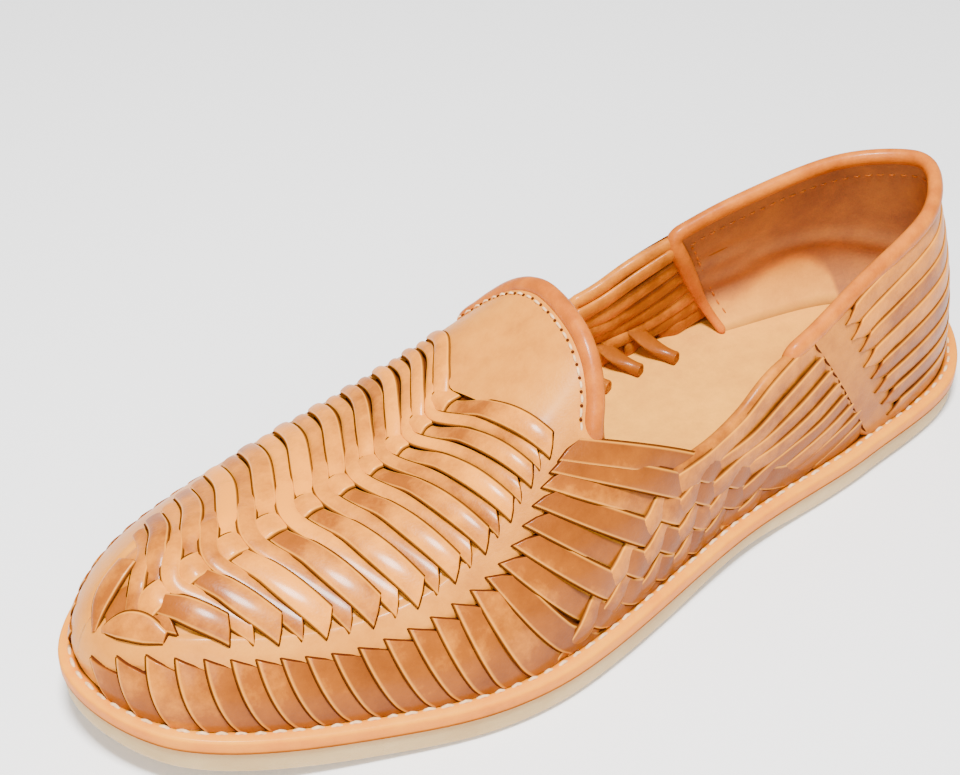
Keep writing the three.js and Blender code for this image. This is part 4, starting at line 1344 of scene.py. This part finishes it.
def make_lining():
    share = np.linspace(0, 1, 44)[None, :]
    across = np.linspace(0, 1, 170)[:, None]
    run = lerp(edge_run(COLLAR_FRONT[1], share), 2 * FULL - edge_run(COLLAR_FRONT[-1], share), across)
    near_front = np.exp(-((np.minimum(across, 1 - across) - 0.07) / 0.06) ** 2)
    folds = near_front * np.sin(share * 34 + 9 * across) * np.exp(-((share - 0.45) / 0.2) ** 2)
    sag = 0.8 * np.exp(-((share - 0.4 - 0.05 * np.sin(9 * across)) / 0.06) ** 2)
    points = lifted(run, share * top_up(run), LINING_LIFT - 0.5 * folds - sag - fillet(share))
    border = Curve(SHADE_BORDER)(np.abs(2 * across - 1)) + 0.01 * np.sin(40 * across)
    # Above the border the lining is painted darker: the collar's shadow.
    tone = LINING_TONE - LINING_SHADE * smooth((share - border) / SHADE_BORDER_FADE + 0.5)
    seam = smooth((FILLET["foot"] + LINING_SEAM["above"] - share) / LINING_SEAM["fade"])
    maker = Maker()
    maker.sheet(points, tone, LINING_SEAM["dark"] * seam)
    make_piece("counter_lining", maker, LINING, "lining_leather")


# Straps seen inside the quarter


def add_inner_strap(maker, rng, strap, s, up, wave):
    centres = lifted(s, np.maximum(up, STRAP_LOWEST), strap["lift"] + strap["swing"] * wave)
    tone = strap["tone"] + rng.uniform(*STRAP_SPREAD)
    roll_grid(maker, centres, last_normal(s, up), strap["half"], tone)


def make_inner_straps():
    rng = np.random.default_rng(21)
    maker = Maker()
    for side in (1, -1):
        mirror = np.array([side, 1.0])
        for j, stops in enumerate(FORWARD_STRIPS[:INNER_STRAP_COUNT]):
            path = Path(np.array(stops, float) * mirror, wall_surface)
            s, up = path.at(np.linspace(0, path.length * STRAP["length"], 80)).T
            ahead = np.abs(s) < edge_run(COLLAR_FRONT[side], up / TOP_UP(np.abs(s)))
            share = np.linspace(0, 1, ahead.sum())
            wave = np.sin(9 * share + 3 * j) * smooth(1.8 * share - 0.6)
            add_inner_strap(maker, rng, STRAP, s[ahead], up[ahead], wave)
        for k in range(FIRST_WOVEN + 1, STRIP_COUNT):
            path = Path(side_path(k)[:7] * mirror, wall_surface)
            s, up = path.at(np.linspace(0, path.length, 40)).T
            wave = np.sin(np.linspace(0, 10, 40) + 3.1 * k)
            add_inner_strap(maker, rng, CROSS_STRAP, s, up, wave)
        add_edge_strap(maker, side)
    for x, y in STRAP_ENDS:
        add_strap_end(maker, x, y)
    make_piece("inner_straps", maker, STRIPS, "woven_leather")


def add_edge_strap(maker, side):
    run = np.linspace(EDGE_STRAP["from"], COLLAR_FRONT[side][0] + EDGE_STRAP["past"], 70)
    s, up = side * run, TOP_UP(run) - EDGE_STRAP["below"]
    centres = lifted(s, up, EDGE_STRAP["lift"])
    roll_grid(maker, centres, last_normal(s, up), EDGE_STRAP["half"], EDGE_STRAP_TONE[side])


def add_strap_end(maker, x, y):
    """A strap that comes down from the wall and is rolled up on itself on the insole, open at the end."""
    radius = STRAP_END["radius"]
    share = np.linspace(0, 1, 16)[:, None]
    turn = turns(ROLL_TURNS)[None, :, None]
    tip = np.array([x, y, FEATHER_BASE + INSOLE_THICK + radius * 0.9])
    start, bend = np.array(STRAP_END["from"]), np.array(STRAP_END["bend"])
    body = tip + start * (1 - share) ** 2 + 2 * bend * share * (1 - share)
    along = unit(np.gradient(body, axis=0))
    first = unit(np.cross(along, [0.0, 0.0, 1.0]))
    second = np.cross(first, along)
    rolled = smooth((share - 0.3) / 0.5)
    axes = zip((first, second), STRAP_END["flat"])
    wide, thick = (axis * lerp(flat, radius, rolled) for axis, flat in axes)
    points = body[:, None] + np.cos(turn) * wide[:, None] + np.sin(turn) * thick[:, None]
    maker.sheet(points, 0.45, ring=True)
    disc = (np.cos(turn) * first[-1] + np.sin(turn) * second[-1])[0]
    points = np.array([tip + along[-1] * out + disc * radius * k for k, out, _ in STRAP_LIP])
    dark = np.array([row[2] for row in STRAP_LIP])[:, None]
    maker.sheet(points, 0.5, dark, ring=True, caps=True)


# Stage


def place_object(name, data, place, facing):
    """A camera or light at a place, looking along facing."""
    item = bpy.data.objects.new(name, data)
    item.location = place
    item.rotation_mode = "QUATERNION"
    item.rotation_quaternion = facing.to_track_quat("-Z", "Y")
    bpy.context.scene.collection.objects.link(item)
    return item


def make_camera():
    a, e = math.radians(CAMERA["azimuth"]), math.radians(CAMERA["elevation"])
    back = Vector((math.sin(a) * math.cos(e), -math.cos(a) * math.cos(e), math.sin(e)))
    target = Vector((np.array(CAMERA_TARGET) - ORIGIN) * MM)
    data = bpy.data.cameras.new("camera")
    data.sensor_width = CAMERA["sensor"]
    data.lens = CAMERA["lens"]
    bpy.context.scene.camera = place_object("camera", data, target + back * CAMERA["distance"] * MM, -back)


def add_light(name, place, aim, size, power):
    data = bpy.data.lights.new(name, "AREA")
    data.shape = "DISK"
    data.size = size
    data.energy = power
    place_object(name, data, place, Vector(aim) - Vector(place))


def make_stage():
    corners = [(FLOOR_HALF * x, FLOOR_HALF * y, 0) for x, y in ((-1, -1), (1, -1), (1, 1), (-1, 1))]
    mesh = bpy.data.meshes.new("floor")
    mesh.from_pydata(corners, [], [(0, 1, 2, 3)])
    mesh.materials.append(floor_material())
    floor = bpy.data.objects.new("floor", mesh)
    bpy.context.scene.collection.objects.link(floor)
    world = bpy.data.worlds.new("studio")
    world.use_nodes = True
    background = world.node_tree.nodes["Background"]
    background.inputs["Color"].default_value = rgb(1.0, 1.0, 1.0)
    background.inputs["Strength"].default_value = WORLD_STRENGTH
    bpy.context.scene.world = world
    for light in LIGHTS:
        add_light(*light)


make_sole()
make_welt_stitches()
make_wall()
make_sides()
make_plug()
make_apron()
make_panel(1, "outer")
make_panel(-1, "inner")
make_heel()
make_tab_binding()
make_tab_stitches()
make_collar_binding()
make_collar_stitches()
make_lining()
make_inner_straps()
make_camera()
make_stage()
